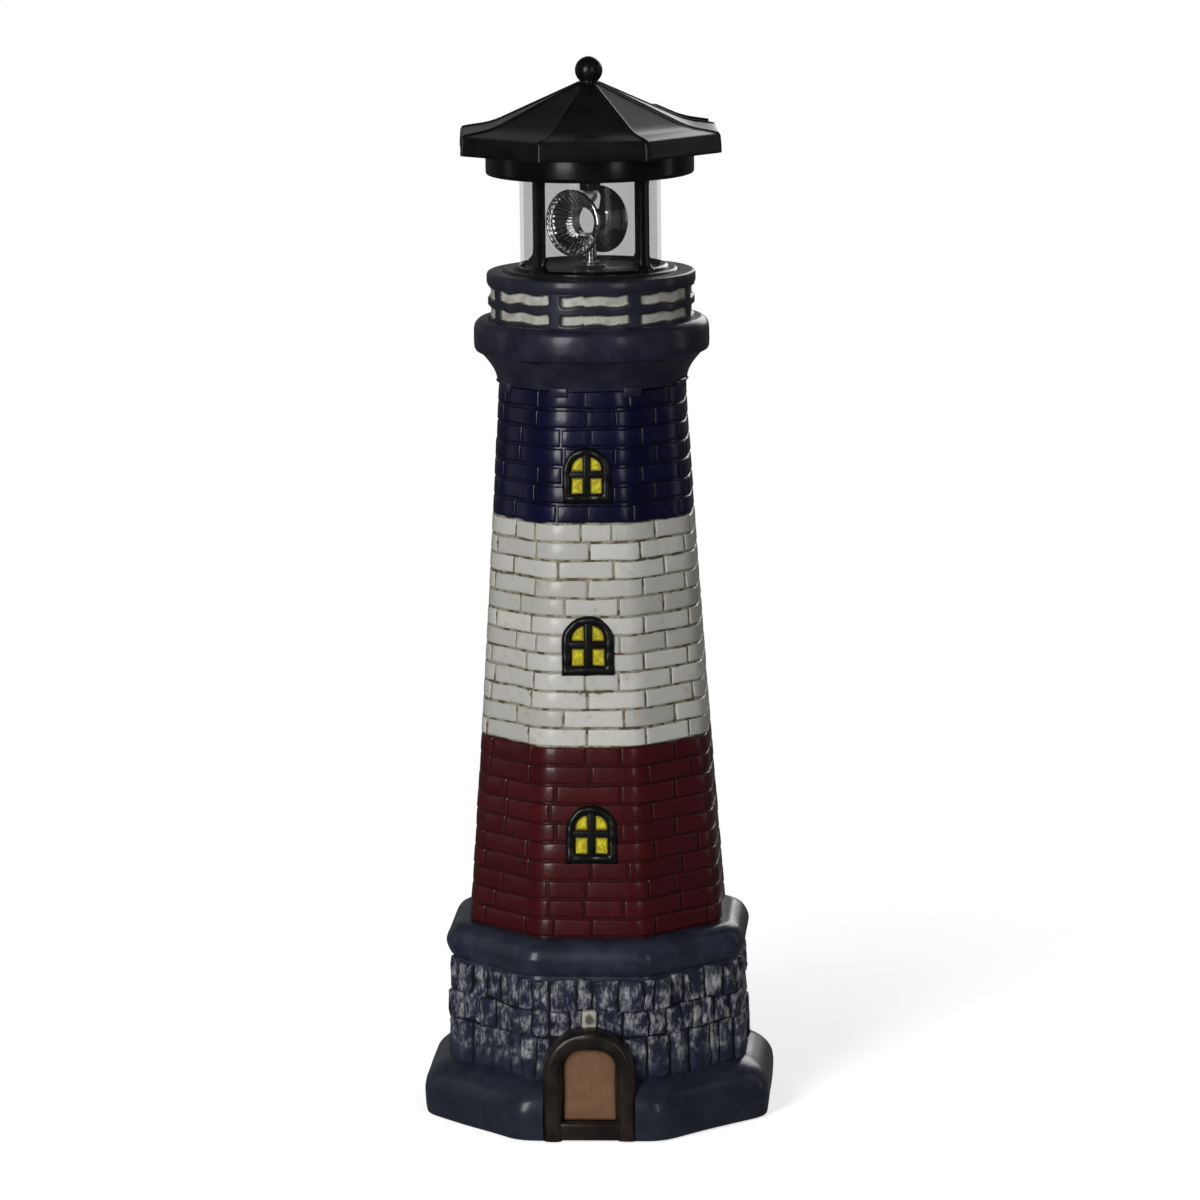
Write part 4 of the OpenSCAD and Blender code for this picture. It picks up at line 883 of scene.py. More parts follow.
blocks = stone_layout(5)
stone = block_object("one_stone", (-0.86, -0.6, 0.0, 0.6, 0.86), (-0.94, -0.8, -0.4, 0.0, 0.4, 0.8, 0.94))
stones = grown(
    "stones", WRAP, layout_mesh("stone_layout", blocks), Block=stone,
    Foot_Path=path_object("foot_path", octagon(50.6, 10.0, ROUND), WALL[0]),
    Head_Path=path_object("head_path", octagon(49.5, 10.0, ROUND), WALL[1]),
    Foot=WALL[0] * MM, Head=WALL[1] * MM, Bow=0.0, Depth=1.3 * MM,
    Rough=2.3 * MM, Grain=300.0, Wander=1.8 * MM, Paint=STONE,
)
print(len(blocks), "stones in", len(STONE_COURSES) - 1, "courses")
finished(stones, STONE, "tower", "slate_paint", "base_casting", crease=80)

# %% [markdown]
# ## Painted trim
#
# Window frames are brushed black and the panes mustard yellow and mottled, with brown
# painted shade in their corners. The door is tan in a brown-black surround.

# %% Trim paints
def trim_paint(name, dark, light, size, rough, coat, wave=0.07):
    finish = Finish(name)
    return varnish(finish, drift(finish, dark, light, size), rough, coat, wave)


def pane_paint():
    finish = Finish("pane_yellow")
    edge = finish.mark("edge")
    mottle = finish.cloud(1.6, 4.0)
    colour = finish.mix(mottle.rise(0.38, 0.66), (0.30, 0.245, 0.009), (0.58, 0.53, 0.018))
    # Brown painted shade darkens the panes within about 1.5 mm of the frame and the glazing bars.
    painted_shade = (edge + (mottle - 0.5) * 0.9).rise(0.4, 0.95)
    colour = finish.mix(painted_shade * 0.85, colour, (0.035, 0.024, 0.005))
    return varnish(finish, colour, rough=0.42, coat=0.25, wave=0.08)


def leaf_paint():
    finish = Finish("leaf_tan")
    grain = finish.cloud(1.0, 4.0, 0.65, finish.stretched(1.0, 1.0, 0.16))
    colour = finish.mix(finish.cloud(5.0, 4.0).rise(0.3, 0.7), (0.128, 0.066, 0.035), (0.158, 0.083, 0.046))
    colour = finish.mix(grain.rise(0.45, 0.75) * 0.3, colour, (0.095, 0.047, 0.025))
    # The edge mark darkens the leaf's sides and rim against the surround: painted shade.
    colour = finish.mix(finish.mark("edge").rise(0.5, 1.0) * 0.7, colour, (0.035, 0.018, 0.011))
    return varnish(finish, colour, rough=0.5, coat=0.3, wave=0.05)


BLACK_TRIM = trim_paint("frame_black", (0.0022, 0.0023, 0.0026), (0.0048, 0.0047, 0.0046), 6.0, 0.36, 0.32)
BROWN_TRIM = trim_paint(
    "surround_brown", (0.0065, 0.005, 0.0045), (0.016, 0.0115, 0.009), 7.0, 0.36, 0.6, 0.2
)
PANE = pane_paint()
LEAF = leaf_paint()
print("made", BLACK_TRIM.name, BROWN_TRIM.name, PANE.name, LEAF.name)

# %% [markdown]
# ## Door
#
# The surround is a thick rounded band that runs up one side, over the head and down
# the other. Its outside is round-headed and its inside follows the leaf, which has
# only rounded shoulders. A rounded block stands below the leaf as a step.

# %% Door
def shouldered(width, height, radius, foot=0.0, count=10):
    """Outline with rounded upper corners, from its left foot to its right foot."""
    x, top = width / 2, foot + height
    turns = [
        (
            radius - radius * math.cos(math.pi / 2 * i / count),
            radius * math.sin(math.pi / 2 * i / count) - radius,
        )
        for i in range(count + 1)
    ]
    left = [(-x + across, top + up) for across, up in turns]
    right = [(x - across, top + up) for across, up in reversed(turns)]
    return [(-x, foot)] + left + right + [(x, foot)]


def band(outer, inner, section):
    """Rings across a band between two outlines. section is (share across, depth) points."""
    return [
        [(xa + (xb - xa) * t, ya + (yb - ya) * t, d) for t, d in section]
        for (xa, ya), (xb, yb) in zip(outer, inner)
    ]


FRONT = -PLINTH_HALF
outer = even_points(arch(31.4, 37.9, 40), 90, closed=False)
inner = even_points(shouldered(18.2, 30.9, 6.2), 90, closed=False)
section = [(0.0, 11.8), (0.0, 3.0), (0.03, 1.6), (0.11, 0.62), (0.26, 0.16), (0.42, 0.05), (0.58, 0.05),
           (0.74, 0.18), (0.89, 0.7), (0.97, 1.7), (1.0, 3.2), (1.0, 11.8)]
rings = [[(x, FRONT + 0.2 + d, z + PLINTH[0]) for x, z, d in ring] for ring in band(outer, inner, section)]
surround = hand_cast(skin("door_surround", rings, loop=False), 0.3, 7.0, 8.0)
finished(surround, BROWN_TRIM, "tower", "brown_paint", "door_surround")


def soft_box(name, low_corner, high_corner, radius, steps):
    """A block with rounded edges."""
    work = bmesh.new()
    bmesh.ops.create_cube(work, size=1.0)
    for v in work.verts:
        v.co = Vector([(a + b) / 2 + c * (b - a) for a, b, c in zip(low_corner, high_corner, v.co)]) * MM
    bmesh.ops.bevel(work, geom=work.edges[:], offset=radius * MM, segments=steps, profile=0.5, affect="EDGES")
    mesh = bpy.data.meshes.new(name)
    work.to_mesh(mesh)
    work.free()
    return smooth(linked(name, mesh))


sill = hand_cast(soft_box("door_step", (-10.2, FRONT + 0.9, 0.5), (10.2, -48.0, 6.7), 1.1, 5), 0.2, 6.0, 4.0)
finished(sill, BROWN_TRIM, "tower", "brown_paint", "door_surround")


# The leaf is a plate with a softened front edge. Each row is how far it is drawn in, its
# depth and its edge mark.
LEAF_FRONT, LEAF_BACK = FRONT + 4.6, -47.2
outline = even_points(shouldered(18.0, 24.6, 6.2, 6.7), 96)
cx, cz = (sum(c) / len(outline) for c in zip(*outline))
rings, edge = [], []
for shrink, y, mark in (
    (0.0, LEAF_BACK, 1.0), (0.0, LEAF_FRONT + 0.5, 1.0), (0.175, LEAF_FRONT + 0.15, 1.0),
    (0.5, LEAF_FRONT, 0.9), (1.3, LEAF_FRONT, 0.35), (2.5, LEAF_FRONT, 0.0), (3.9, LEAF_FRONT, 0.0),
):
    shares = [1 - shrink / math.hypot(x - cx, z - cz) for x, z in outline]
    rings.append([(cx + (x - cx) * t, y, cz + (z - cz) * t) for (x, z), t in zip(outline, shares)])
    edge += [mark] * len(outline)
leaf = skin("door_leaf", rings, False, {"edge": edge})
finished(leaf, LEAF, "tower", "tan_paint", "door_leaf")

# %% [markdown]
# ## Keystone
#
# One stone over the door was left the colour of lime plaster, with worn pale edges
# round a darker middle. It is a small soft block let into the wall.

# %% Keystone
def keystone_paint():
    finish = Finish("keystone_paint")
    middle = finish.vector("SUBTRACT", finish.place, (0.0, -0.0515, 0.0407))
    reach = finish.vector("LENGTH", finish.vector("MULTIPLY", middle, (1.3, 0.0, 1.0)), name=1)
    pale_ring = (reach + (finish.cloud(1.2, 4.0) - 0.5) * 0.002).rise(0.0012, 0.0026)
    colour = finish.mix(pale_ring, (0.075, 0.070, 0.058), (0.33, 0.315, 0.265))
    return varnish(
        finish, colour, rough=0.5, coat=0.3, wave=0.05, under=finish.bump(finish.cloud(1.0, 3.0), 0.3)
    )


keystone = hand_cast(soft_box("keystone", (-2.5, -51.8, 37.6), (2.3, -48.0, 43.6), 0.7, 4), 0.35, 2.5, 7.0)
finished(keystone, keystone_paint(), "tower", "slate_paint", "base_casting")

# %% [markdown]
# ## Windows
#
# Each window is a lumpy round-headed frame with a cross of glazing bars, let into the
# leaning front of the shaft, over a yellow pane.

# %% Windows
LEAN = math.degrees(math.atan(TAPER))
width, height, border = 17.0, 19.4, 3.3
BAR_HALF = 1.2


def on_shaft(sill_height, size=1.0, aside=0.0):
    """Places a drawing whose y is up and whose z is outward on the shaft's front."""
    middle = BANDS[0] + sill_height + height / 2
    climb = middle - BANDS[0]
    half = SHAFT_WIDE - TAPER * climb - BOW * math.sin(math.pi * climb / (BANDS[3] - BANDS[0]))
    return (
        Matrix.Translation((aside, -half, middle))
        @ Matrix.Rotation(math.radians(90 - LEAN), 4, "X")
        @ Matrix.Diagonal((size, size, 1, 1))
        @ Matrix.Translation((0, -height / 2, 0))
    )


inner_w, inner_h = width - 2 * border, height - 2 * border
across = border + inner_h * 0.52  # height of the level bar
section = [(0.0, -1.0), (0.0, 0.5), (0.07, 0.95), (0.22, 1.3), (0.45, 1.45), (0.68, 1.34), (0.88, 1.02),
           (0.98, 0.6), (1.0, 0.2), (1.0, -1.0)]
outer = even_points([(x, y + 0.15) for x, y in arch(width - 0.3, height - 0.3, 32)], 84)
inner = even_points(shouldered(inner_w, inner_h, 4.3, border, 16), 84)
outline = even_points(shouldered(inner_w + 0.6, inner_h + 0.6, 4.6, border - 0.3, 16), 84)
frames, panes = [], []
for place in ((25.3, 1.03, 0.7), (88.9, 1.05, 0.0), (146.0, 0.96, 0.0)):
    frames.append(placed(joined("window", [
        skin("frame_ring", band(outer, inner, section)),
        soft_box("bar", (-BAR_HALF, border - 1, -0.4), (BAR_HALF, border + inner_h + 1, 1.2), 0.6, 4),
        soft_box(
            "bar", (-inner_w / 2 - 1, across - BAR_HALF, -0.4), (inner_w / 2 + 1, across + BAR_HALF, 1.15),
            0.6, 4
        ),
    ]), on_shaft(*place)))
    rings, edge = [[(x, y, -1.0) for x, y in outline]], [1.0] * len(outline)
    for share in (1.0, 0.92, 0.84, 0.76, 0.67, 0.57, 0.46, 0.34, 0.2, 0.06):
        ring = [(x * share, (y - across) * share + across, 0.15) for x, y in outline]
        for (x, y, _), far in zip(ring, outline):
            clear = min(math.dist((x, y), far) - 0.2, abs(x) - BAR_HALF, abs(y - across) - BAR_HALF)
            edge.append(min(1.0, max(0.0, 1 - clear / 1.5)))
        rings.append(ring)
    panes.append(placed(skin("pane", rings, False, {"edge": edge}), on_shaft(*place)))
frames = hand_cast(joined("window_frames", frames), 0.32, 3.2, 2.0)
finished(frames, BLACK_TRIM, "tower", "black_paint", "window_frames")
finished(joined("window_panes", panes), PANE, "tower", "yellow_paint", "window_panes")

# %% [markdown]
# ## Gallery
#
# The gallery flares from the shaft as a cone, swells to a round collar and carries a
# drum of panels between rails. The panels are shallow wells in the casting, painted
# cream by hand, so their edges wander and the navy shows through at the corners. The
# outline is turned, and the wells, rails and uprights are added to its radius point by
# point. Each point keeps how much cream it has.

# %% Gallery casting
def gallery_paint():
    finish = Finish("gallery_paint")
    cream = finish.mark("cream")
    fine, patch = finish.cloud(1.0, 4.0), finish.cloud(4.0, 3.0)
    navy = drift(finish, (0.010, 0.0105, 0.021), (0.017, 0.018, 0.031), 7.0)
    upper = finish.z.rise(PANELS * MM - 0.0005, PANELS * MM + 0.0008)
    navy = finish.mix(upper * 0.6, navy, (0.016, 0.0175, 0.024))
    pale = finish.mix(patch.rise(0.4, 0.65), (0.40, 0.395, 0.37), (0.29, 0.275, 0.225))
    # Dark brown dirt in speckles over the panels, and painted shade where the cream meets the rails and
    # uprights at the edges of the wells.
    dirt_and_shade = (cream + (fine - 0.5) * 0.9 + (patch - 0.5) * 0.5).rise(0.95, 0.62)
    pale = finish.mix(dirt_and_shade * 0.85, pale, (0.085, 0.066, 0.030))
    colour = finish.mix((cream + (fine - 0.5) * 0.35).rise(0.30, 0.52), navy, pale)
    return varnish(finish, colour, rough=0.38, coat=0.45, wave=0.09)


def panel_share(angle, z):
    """1 inside a panel's well and 0 on the rails and uprights, for an angle in degrees."""
    from_upright = (angle - GALLERY_TURN) % 45.0 - 22.5
    x = math.radians(from_upright) * 33.4
    warp = 0.35 * uneven(math.cos(math.radians(angle)) * 33, math.sin(math.radians(angle)) * 33, z, 4.0, 6.0)
    beside = soft_step(abs(x) + warp, 2.3, 1.3)
    rows = 0.0
    for foot, head in ((PANELS + 1.1, PANELS + 4.3), (PANELS + 7.35, RIM - 0.85)):
        bend = warp * 1.1 + 0.25 * math.sin(angle * 0.32)
        rows = max(rows, soft_step(z + bend, foot, 1.0) * (1 - soft_step(z + bend, head, 1.0)))
    return beside * rows


GALLERY_PAINT = gallery_paint()
AROUND = 432
cone = [
    (32.2 + 5.7 * (1 - math.cos(math.pi / 2 * t)), CONE + 10.0 * t)
    for t in (0, 0.1, 0.25, 0.4, 0.55, 0.7, 0.85, 1.0)
]
collar = [
    (38.6, COLLAR + 0.1), (39.3, COLLAR + 0.5), (39.7, COLLAR + 1.3), (39.8, COLLAR + 3.5),
    (39.8, PANELS - 4.2)
]
collar += [
    (36.6 + 3.15 * math.cos(a), PANELS - 3.6 + 3.6 * math.sin(a))
    for a in (0.25, 0.5, 0.75, 1.0, 1.2, 1.4, 1.55)
]
wells = [(34.95, PANELS + 0.05 + 11.4 * i / 46) for i in range(47)]
rim = [
    (35.0, RIM + 0.05), (35.2, RIM + 0.35), (35.35, RIM + 0.9), (35.4, RIM + 2.0), (35.38, RIM + 3.2),
    (35.1, RIM + 3.9), (34.6, RIM + 4.15), (33.8, RIM + 4.2)
]
inner_line = [
    (29.8, GALLERY_TOP), (29.8, 285.1), (27.4, 285.1), (27.4, 256.0), (26.55, 256.0), (26.55, CONE + 0.05),
    (32.6, CONE)
]
rings, cream = [], []
for part, line in (("plain", cone + collar), ("wells", wells), ("plain", rim), ("inner", inner_line)):
    for r, z in line:
        ring = []
        for i in range(AROUND):
            angle = -90 + 360 * i / AROUND
            c, s = math.cos(math.radians(angle)), math.sin(math.radians(angle))
            share = panel_share(angle, z) if part == "wells" else 0.0
            wobble = 0.0 if part == "inner" else 0.22 * uneven(c * 36, s * 36, z, 9.0, 1.5)
            ring.append((c * (r - share + wobble - 0.1), s * (r - share + wobble - 0.1), z))
            cream.append(share)
        rings.append(ring)
gallery = skin("gallery", rings, marks={"cream": cream})
finished(gallery, GALLERY_PAINT, "tower", "navy_paint", "gallery_casting")

# %% [markdown]
# ## Things that stand in a ring
#
# Corbel tabs, lantern posts and hip ribs all repeat round the middle.
# One small growth rule copies a piece a number of times round the axis, from a first
# angle.

# %% Growth rule for rings of copies
def ring_rule():
    rule = Growth(
        "ring_of_copies", Copy="Object", Count="Int", First="Float", Radius="Float", Paint="Material"
    )
    copy = rule.out(rule.node("GeometryNodeObjectInfo", None, {"Object": rule.given("Copy")}), "Geometry")
    points = rule.node("GeometryNodePoints", None, {"Count": rule.given("Count")})
    turn = (
        rule.out(rule.node("GeometryNodeInputIndex")) * (2 * math.pi) / rule.given("Count")
        + rule.given("First")
    )
    across = rule.out(rule.node("ShaderNodeMath", {"operation": "COSINE"}, {0: turn})) * rule.given("Radius")
    along = turn.sine() * rule.given("Radius")
    place = rule.node("ShaderNodeCombineXYZ", None, {0: across, 1: along})
    rule.feed(points.inputs["Position"], rule.out(place))
    facing = rule.node("ShaderNodeCombineXYZ", None, {2: turn})
    laid = rule.node("GeometryNodeInstanceOnPoints", None, {"Points": rule.out(points), "Instance": copy})
    rule.feed(
        laid.inputs["Rotation"],
        rule.out(rule.node("FunctionNodeEulerToRotation", None, {0: rule.out(facing)}))
    )
    rule.close(rule.out(laid), rule.given("Paint"))
    return rule.tree


RING = ring_rule()


def ring_of(name, copy, count, first, radius, paint):
    """Copies a piece drawn towards +X, count times from the first angle in degrees."""
    return grown(
        name, RING, None, Copy=copy, Count=count, First=math.radians(first), Radius=radius * MM, Paint=paint
    )


tab = soft_box("tab", (-3.2, -3.4, CONE - 2.5), (0.75, 3.4, CONE + 1.2), 0.7, 3)
tabs = hand_cast(ring_of("corbel_tabs", tab, 8, GALLERY_TURN + 22.5, 32.0, GALLERY_PAINT), 0.25, 4.0, 9.0)
mark_points(tabs.data, "cream", [0.0] * len(tabs.data.vertices))
finished(tabs, GALLERY_PAINT, "tower", "navy_paint", "gallery_casting")

# %% [markdown]
# ## Moulded lantern parts
#
# Floor, cage, drum, roof and finial are moulded in glossy black plastic. Its faint
# orange peel and dust only show in the highlights.

# %% Black plastic
def moulded(name, dark, light, rough=0.24, dust=0.5):
    finish = Finish(name)
    peel, cloud = finish.cloud(0.9, 2.0), finish.cloud(11.0, 3.0)
    speck = finish.cloud(1.6, 4.0).rise(0.62, 0.74)
    colour = finish.mix(cloud.rise(0.35, 0.65), dark, light)
    colour = finish.mix(speck * dust * 0.25, colour, tuple(2.5 * c for c in light))
    finish.set(
        Base_Color=colour,
        Roughness=(cloud - 0.5) * 0.14 + speck * 0.12 + rough,
        Specular_IOR_Level=0.12,
        Coat_Weight=cloud * 0.12 + 0.04,
        Coat_Roughness=0.1,
        Normal=finish.bump(peel * 0.4 + cloud * 0.6, 0.05),
    )
    return finish.material


BLACK = moulded("black_plastic", (0.0018, 0.0018, 0.0021), (0.0040, 0.0041, 0.0045))
ROOF_BLACK = moulded("roof_plastic", (0.0020, 0.0020, 0.0022), (0.0050, 0.0051, 0.0054), 0.32, 0.8)
floor_line = [
    (5.4, DECK - 3.3), (29.0, DECK - 3.3), (29.35, DECK - 3.0), (29.4, DECK - 1.1), (29.15, DECK - 0.45),
    (28.5, DECK - 0.05), (27.9, DECK), (24.1, DECK), (24.0, DECK - 0.9), (22.3, DECK - 0.9), (22.2, DECK),
    (5.7, DECK), (5.3, DECK + 0.2), (5.2, DECK + 0.7), (4.9, DECK + 0.95), (4.4, DECK + 1.0),
    (3.3, DECK + 1.0), (3.25, DECK - 3.3),
]
lantern_floor = turned("lantern_floor_disc", floor_line, 160)


def floor_paint():
    finish = Finish("floor_plastic")
    cloud = finish.cloud(8.0, 3.0)
    radius = finish.vector("LENGTH", finish.vector("MULTIPLY", finish.place, (1.0, 1.0, 0.0)), name=1)
    # A pale ring on the floor's top and outer rim, outside the tube, is a painted highlight.
    pale_ring = radius.rise(0.0235, 0.0245) * radius.rise(0.0288, 0.0280)
    colour = finish.mix(cloud.rise(0.35, 0.65), (0.005, 0.005, 0.006), (0.011, 0.011, 0.013))
    colour = finish.mix(pale_ring * 0.8, colour, (0.045, 0.046, 0.049))
    finish.set(
        Base_Color=colour, Roughness=(cloud - 0.5) * 0.15 + 0.3, Specular_IOR_Level=0.12,
        Coat_Weight=cloud * 0.12, Normal=finish.bump(finish.cloud(0.9), 0.04),
    )
    return finish.material


finished(lantern_floor, floor_paint(), "head", "black_plastic", "lantern_floor")

# %% Lantern cage
def post_piece():
    """One curved post towards +X, wider at its foot."""
    rings = []
    for z, wide, out in (
        (0.0, 3.6, 1.6), (0.9, 3.3, 1.5), (1.8, 2.5, 0.9), (2.8, 2.2, 0.25), (5.0, 2.15, 0.0),
        (16.0, 2.15, 0.0), (29.0, 2.15, 0.0), (30.6, 2.3, 0.1), (31.75, 2.6, 0.3),
    ):
        ring = []
        for t, r in (
            (-1, 0.3), (-0.86, 0.05), (0, 0.0), (0.86, 0.05), (1, 0.3), (1, 1.1), (0.86, 1.45), (0.5, 1.58),
            (0, 1.6), (-0.5, 1.58), (-0.86, 1.45), (-1, 1.1)
        ):
            reach, a = 23.85 + r * (1 + out / 1.6) if r > 0.5 else 23.85 + r, t * wide / 24.5
            ring.append((reach * math.cos(a), reach * math.sin(a), DECK + z))
        rings.append(ring)
    return skin("post", rings, loop=False)


posts = ring_of("lantern_posts", post_piece(), 4, HEAD_TURN + 45, 0.0, BLACK)
finished(posts, BLACK, "head", "black_plastic", "lantern_cage")
foot_ring = turned(
    "foot_ring",
    [
        (23.86, DECK + 0.05), (23.86, DECK + 0.9), (24.1, DECK + 1.15), (24.9, DECK + 1.2),
        (25.7, DECK + 0.95), (26.2, DECK + 0.4), (26.25, DECK + 0.05)
    ],
    144
)
finished(foot_ring, BLACK, "head", "black_plastic", "lantern_cage")

# %% [markdown]
# ## Clear tube
#
# The beacon stands in a tube of clear, slightly smoky acrylic with polished edges. Each
# skin of its thin wall lets most of the light straight through, so the finish is a grey
# gloss of low alpha rather than a lens.

# %% Clear tube
def clear_plastic():
    finish = Finish("clear_acrylic")
    smear = finish.cloud(9.0, 3.0, 0.5, finish.stretched(1.0, 1.0, 0.35))
    finish.set(
        Base_Color=finish.mix(smear.rise(0.3, 0.7), (0.040, 0.041, 0.044), (0.025, 0.026, 0.028)),
        Roughness=smear * 0.06 + 0.04, Specular_IOR_Level=0.3, Alpha=smear * 0.06 + 0.18,
        Normal=finish.bump(finish.cloud(16.0, 1.0), 0.03),
    )
    return finish.material


tube_line = [
    (22.45, DECK - 0.75), (22.6, DECK - 0.9), (23.6, DECK - 0.9), (23.75, DECK - 0.75), (23.75, DRUM + 0.7),
    (23.6, DRUM + 0.85), (22.6, DRUM + 0.85), (22.45, DRUM + 0.7)
]
halved = []
for a, b in zip(tube_line, tube_line[1:] + tube_line[:1]):
    halved += [a, ((a[0] + b[0]) / 2, (a[1] + b[1]) / 2)]
tube = turned("clear_tube_wall", halved, 160)
finished(tube, clear_plastic(), "head", "clear_plastic", "clear_tube")

# %% [markdown]
# ## Reflector
#
# Two plated cups face away from each other on the spindle, joined at a narrow waist.
# Each flares like a bell to a rolled rim. The form is turned about its own axis, laid
# level, turned to where the beacon stopped, and cut for the diode above and the
# spindle below. Its points keep `inside`, because only the inner face is fluted.

# %% Reflector
def plated():
    finish = Finish("mirror_plating")
    cloud = finish.cloud(6.0, 3.0)
    turn = math.radians(BEACON_TURN)
    across = finish.x * math.cos(turn) + finish.y * math.sin(turn)
    up = finish.z - AXIS * MM
    angle = up.math("ARCTAN2", up, across)
    inside = finish.mark("inside")
    flute = (angle * 36.0).sine() * 0.5 + 0.5
    # The flutes stripe the plating's colour light and dark, and clouds vary it: painted reflection, next to
    # the real bump of the flutes.
    bright = (flute * inside + (1.0 - inside)) * cloud.rise(0.3, 0.7)
    finish.set(
        Base_Color=finish.mix(bright, (0.46, 0.463, 0.467), (0.92, 0.925, 0.93)), Metallic=1.0,
        Roughness=cloud * 0.06 + 0.06, Normal=finish.bump(flute * inside * 0.7 + cloud * 0.3, 0.14),
    )
    return finish.material


WAIST_R, STEPS = 5.4, 14
side = [
    (WAIST_R + 5.7 * math.sin(math.pi / 2 * i / STEPS) ** 0.9, 2.2 + 5.5 * i / STEPS)
    for i in range(STEPS + 1)
]
half_line = [(WAIST_R, 0.0), (WAIST_R, 1.2)] + side
bead = [
    (10.75 + 0.6 * math.cos(math.radians(d)), 7.7 + 0.6 * math.sin(math.radians(d)))
    for d in range(-20, 191, 30)
]
wall = [(r - 0.6, x) for r, x in reversed(half_line)][1:]
right = half_line[:-1] + bead + wall
profile = right[:-1] + [(r, -x) for r, x in reversed(right)][:-1]
cups = turned("reflector_cups", profile, 128)
reflector_place = (
    Matrix.Translation((0, 0, AXIS)) @ Matrix.Rotation(math.radians(BEACON_TURN - 90), 4, "Z")
    @ Matrix.Rotation(math.pi / 2, 4, "Y") @ Matrix.Translation((0, 0, 2.0))
)
placed(cups, reflector_place)
cups = cut(cups, turned("lamp_hole", [(3.4, AXIS), (3.4, AXIS + 14)], 48, False))
cups = cut(cups, turned("spindle_hole", [(2.0, AXIS - 14), (2.0, AXIS - 1)], 48, False))
middle = Vector((0, 0, AXIS * MM))
along = reflector_place.to_3x3() @ Vector((0, 0, 1))
inside = []
for v in cups.data.vertices:
    away = (v.co - middle) - along * (v.co - middle).dot(along)
    inside.append(float(v.normal.dot(away) < 0))
mark_points(cups.data, "inside", inside)
finished(smooth(cups), plated(), "beacon", "mirror_plate", "reflector")

# %% [markdown]
# ## Drum and roof
#
# The drum is a plain ring with a soffit that closes the roof from below. The roof is
# an eight-sided shell with sharp hips, a steep middle and a flat skirt that run into
# each other in a curve. Raised ribs cover the hips and turn down over the fascia.

# %% Drum
drum_line = [
    (33.35, DRUM + 0.1), (34.1, DRUM), (34.7, DRUM + 0.2), (35.02, DRUM + 0.65), (35.08, DRUM + 1.4),
    (35.08, DRUM + 5.2), (35.08, DRUM + 10.2), (33.35, DRUM + 10.2)
]
finished(turned("drum_wall", drum_line, 176), BLACK, "head", "black_plastic", "drum")


def head_octagon(half, corner, count=256):
    turn = Matrix.Rotation(math.radians(HEAD_TURN), 2)
    return [tuple(turn @ Vector(p)) for p in octagon(half, corner, count)]


soffit_z = EAVE + 0.8
soffit_line = ((34.9, 0.05), (40.7, 0.05), (40.8, 0.2), (40.8, 1.5), (34.9, 1.5))
soffit = skin("soffit", [at(head_octagon(half, 0.4), soffit_z + z) for half, z in soffit_line])
finished(soffit, BLACK, "head", "black_plastic", "drum")

# %% Roof
# The roof's side: a steep slope from the crown, a flat skirt to the fascia, and a curve of
# equal reach to both sides of where they would meet.
CROWN_R, STEEP_RISE, SKIRT_RISE, FASCIA = 3.4, 14.0, 2.0, EAVE + 6.4
MEET, REACH = (32.5, CROWN - STEEP_RISE), 3.5
slope_in = (MEET[0] - REACH, MEET[1] + STEEP_RISE / 29.1 * REACH)
slope_out = (MEET[0] + REACH, MEET[1] - SKIRT_RISE / 10.4 * REACH)
bend = []
for i in range(13):
    t = i / 12
    bend.append(
        tuple(
            p * (1 - t) ** 2 + q * 2 * t * (1 - t) + r * t * t
            for p, q, r in zip(slope_in, MEET, slope_out)
        )
    )
roof_line = [
    (CROWN_R + (slope_in[0] - CROWN_R) * i / 6, CROWN + (slope_in[1] - CROWN) * i / 6)
    for i in range(6)
]
roof_line += bend + [(41.0, FASCIA + 0.46), (42.5, FASCIA + 0.10)]
outside = [(0.9, CROWN), (2.6, CROWN)] + roof_line + [
    (42.84, FASCIA - 0.06), (42.93, FASCIA - 0.3), (42.96, FASCIA - 0.7), (43.2, EAVE + 3.2),
    (43.42, EAVE + 0.4), (43.3, EAVE + 0.1), (43.0, EAVE)
]
under = [
    (41.7, EAVE), (41.5, EAVE + 0.3), (41.1, FASCIA - 1.8), (39.5, FASCIA - 1.1)
] + [(r, z - 2.0) for r, z in reversed(bend[::3])] + [(6.0, CROWN - 2.8), (0.9, CROWN - 2.4)]
roof = skin("roof", [at(head_octagon(h, min(0.7, h * 0.3)), z) for h, z in outside + under])
finished(roof, ROOF_BLACK, "head", "black_plastic", "roof_shell")


def rib_piece():
    """One hip rib towards +X, from crown to fascia, with a half-round back."""
    stretch = 1 / math.cos(math.radians(22.5))
    line = [(r * stretch - 0.25, z) for r, z in roof_line] + [
        (42.9 * stretch - 0.3, FASCIA - 0.5), (43.2 * stretch - 0.35, EAVE + 3.0),
        (43.35 * stretch - 0.4, EAVE + 0.15)
    ]
    rings = []
    for k, (r, z) in enumerate(line):
        ahead, behind = line[min(k + 1, len(line) - 1)], line[max(k - 1, 0)]
        along = Vector((ahead[0] - behind[0], ahead[1] - behind[1])).normalized()
        out = Vector((-along.y, along.x))
        wide = 0.4 + 0.35 * min(1.0, r / 12)
        rings.append([(r + out.x * h, wide * w, z + out.y * h) for w, h in (
            (-1.0, -0.9), (-1.0, 0.05), (-0.78, 0.34), (-0.4, 0.5), (0.0, 0.55), (0.4, 0.5), (0.78, 0.34),
            (1.0, 0.05), (1.0, -0.9),
        )])
    return skin("rib", rings, loop=False)


ribs = ring_of("hip_ribs", rib_piece(), 8, HEAD_TURN + 22.5, 0.0, ROOF_BLACK)
finished(ribs, ROOF_BLACK, "head", "black_plastic", "roof_shell")

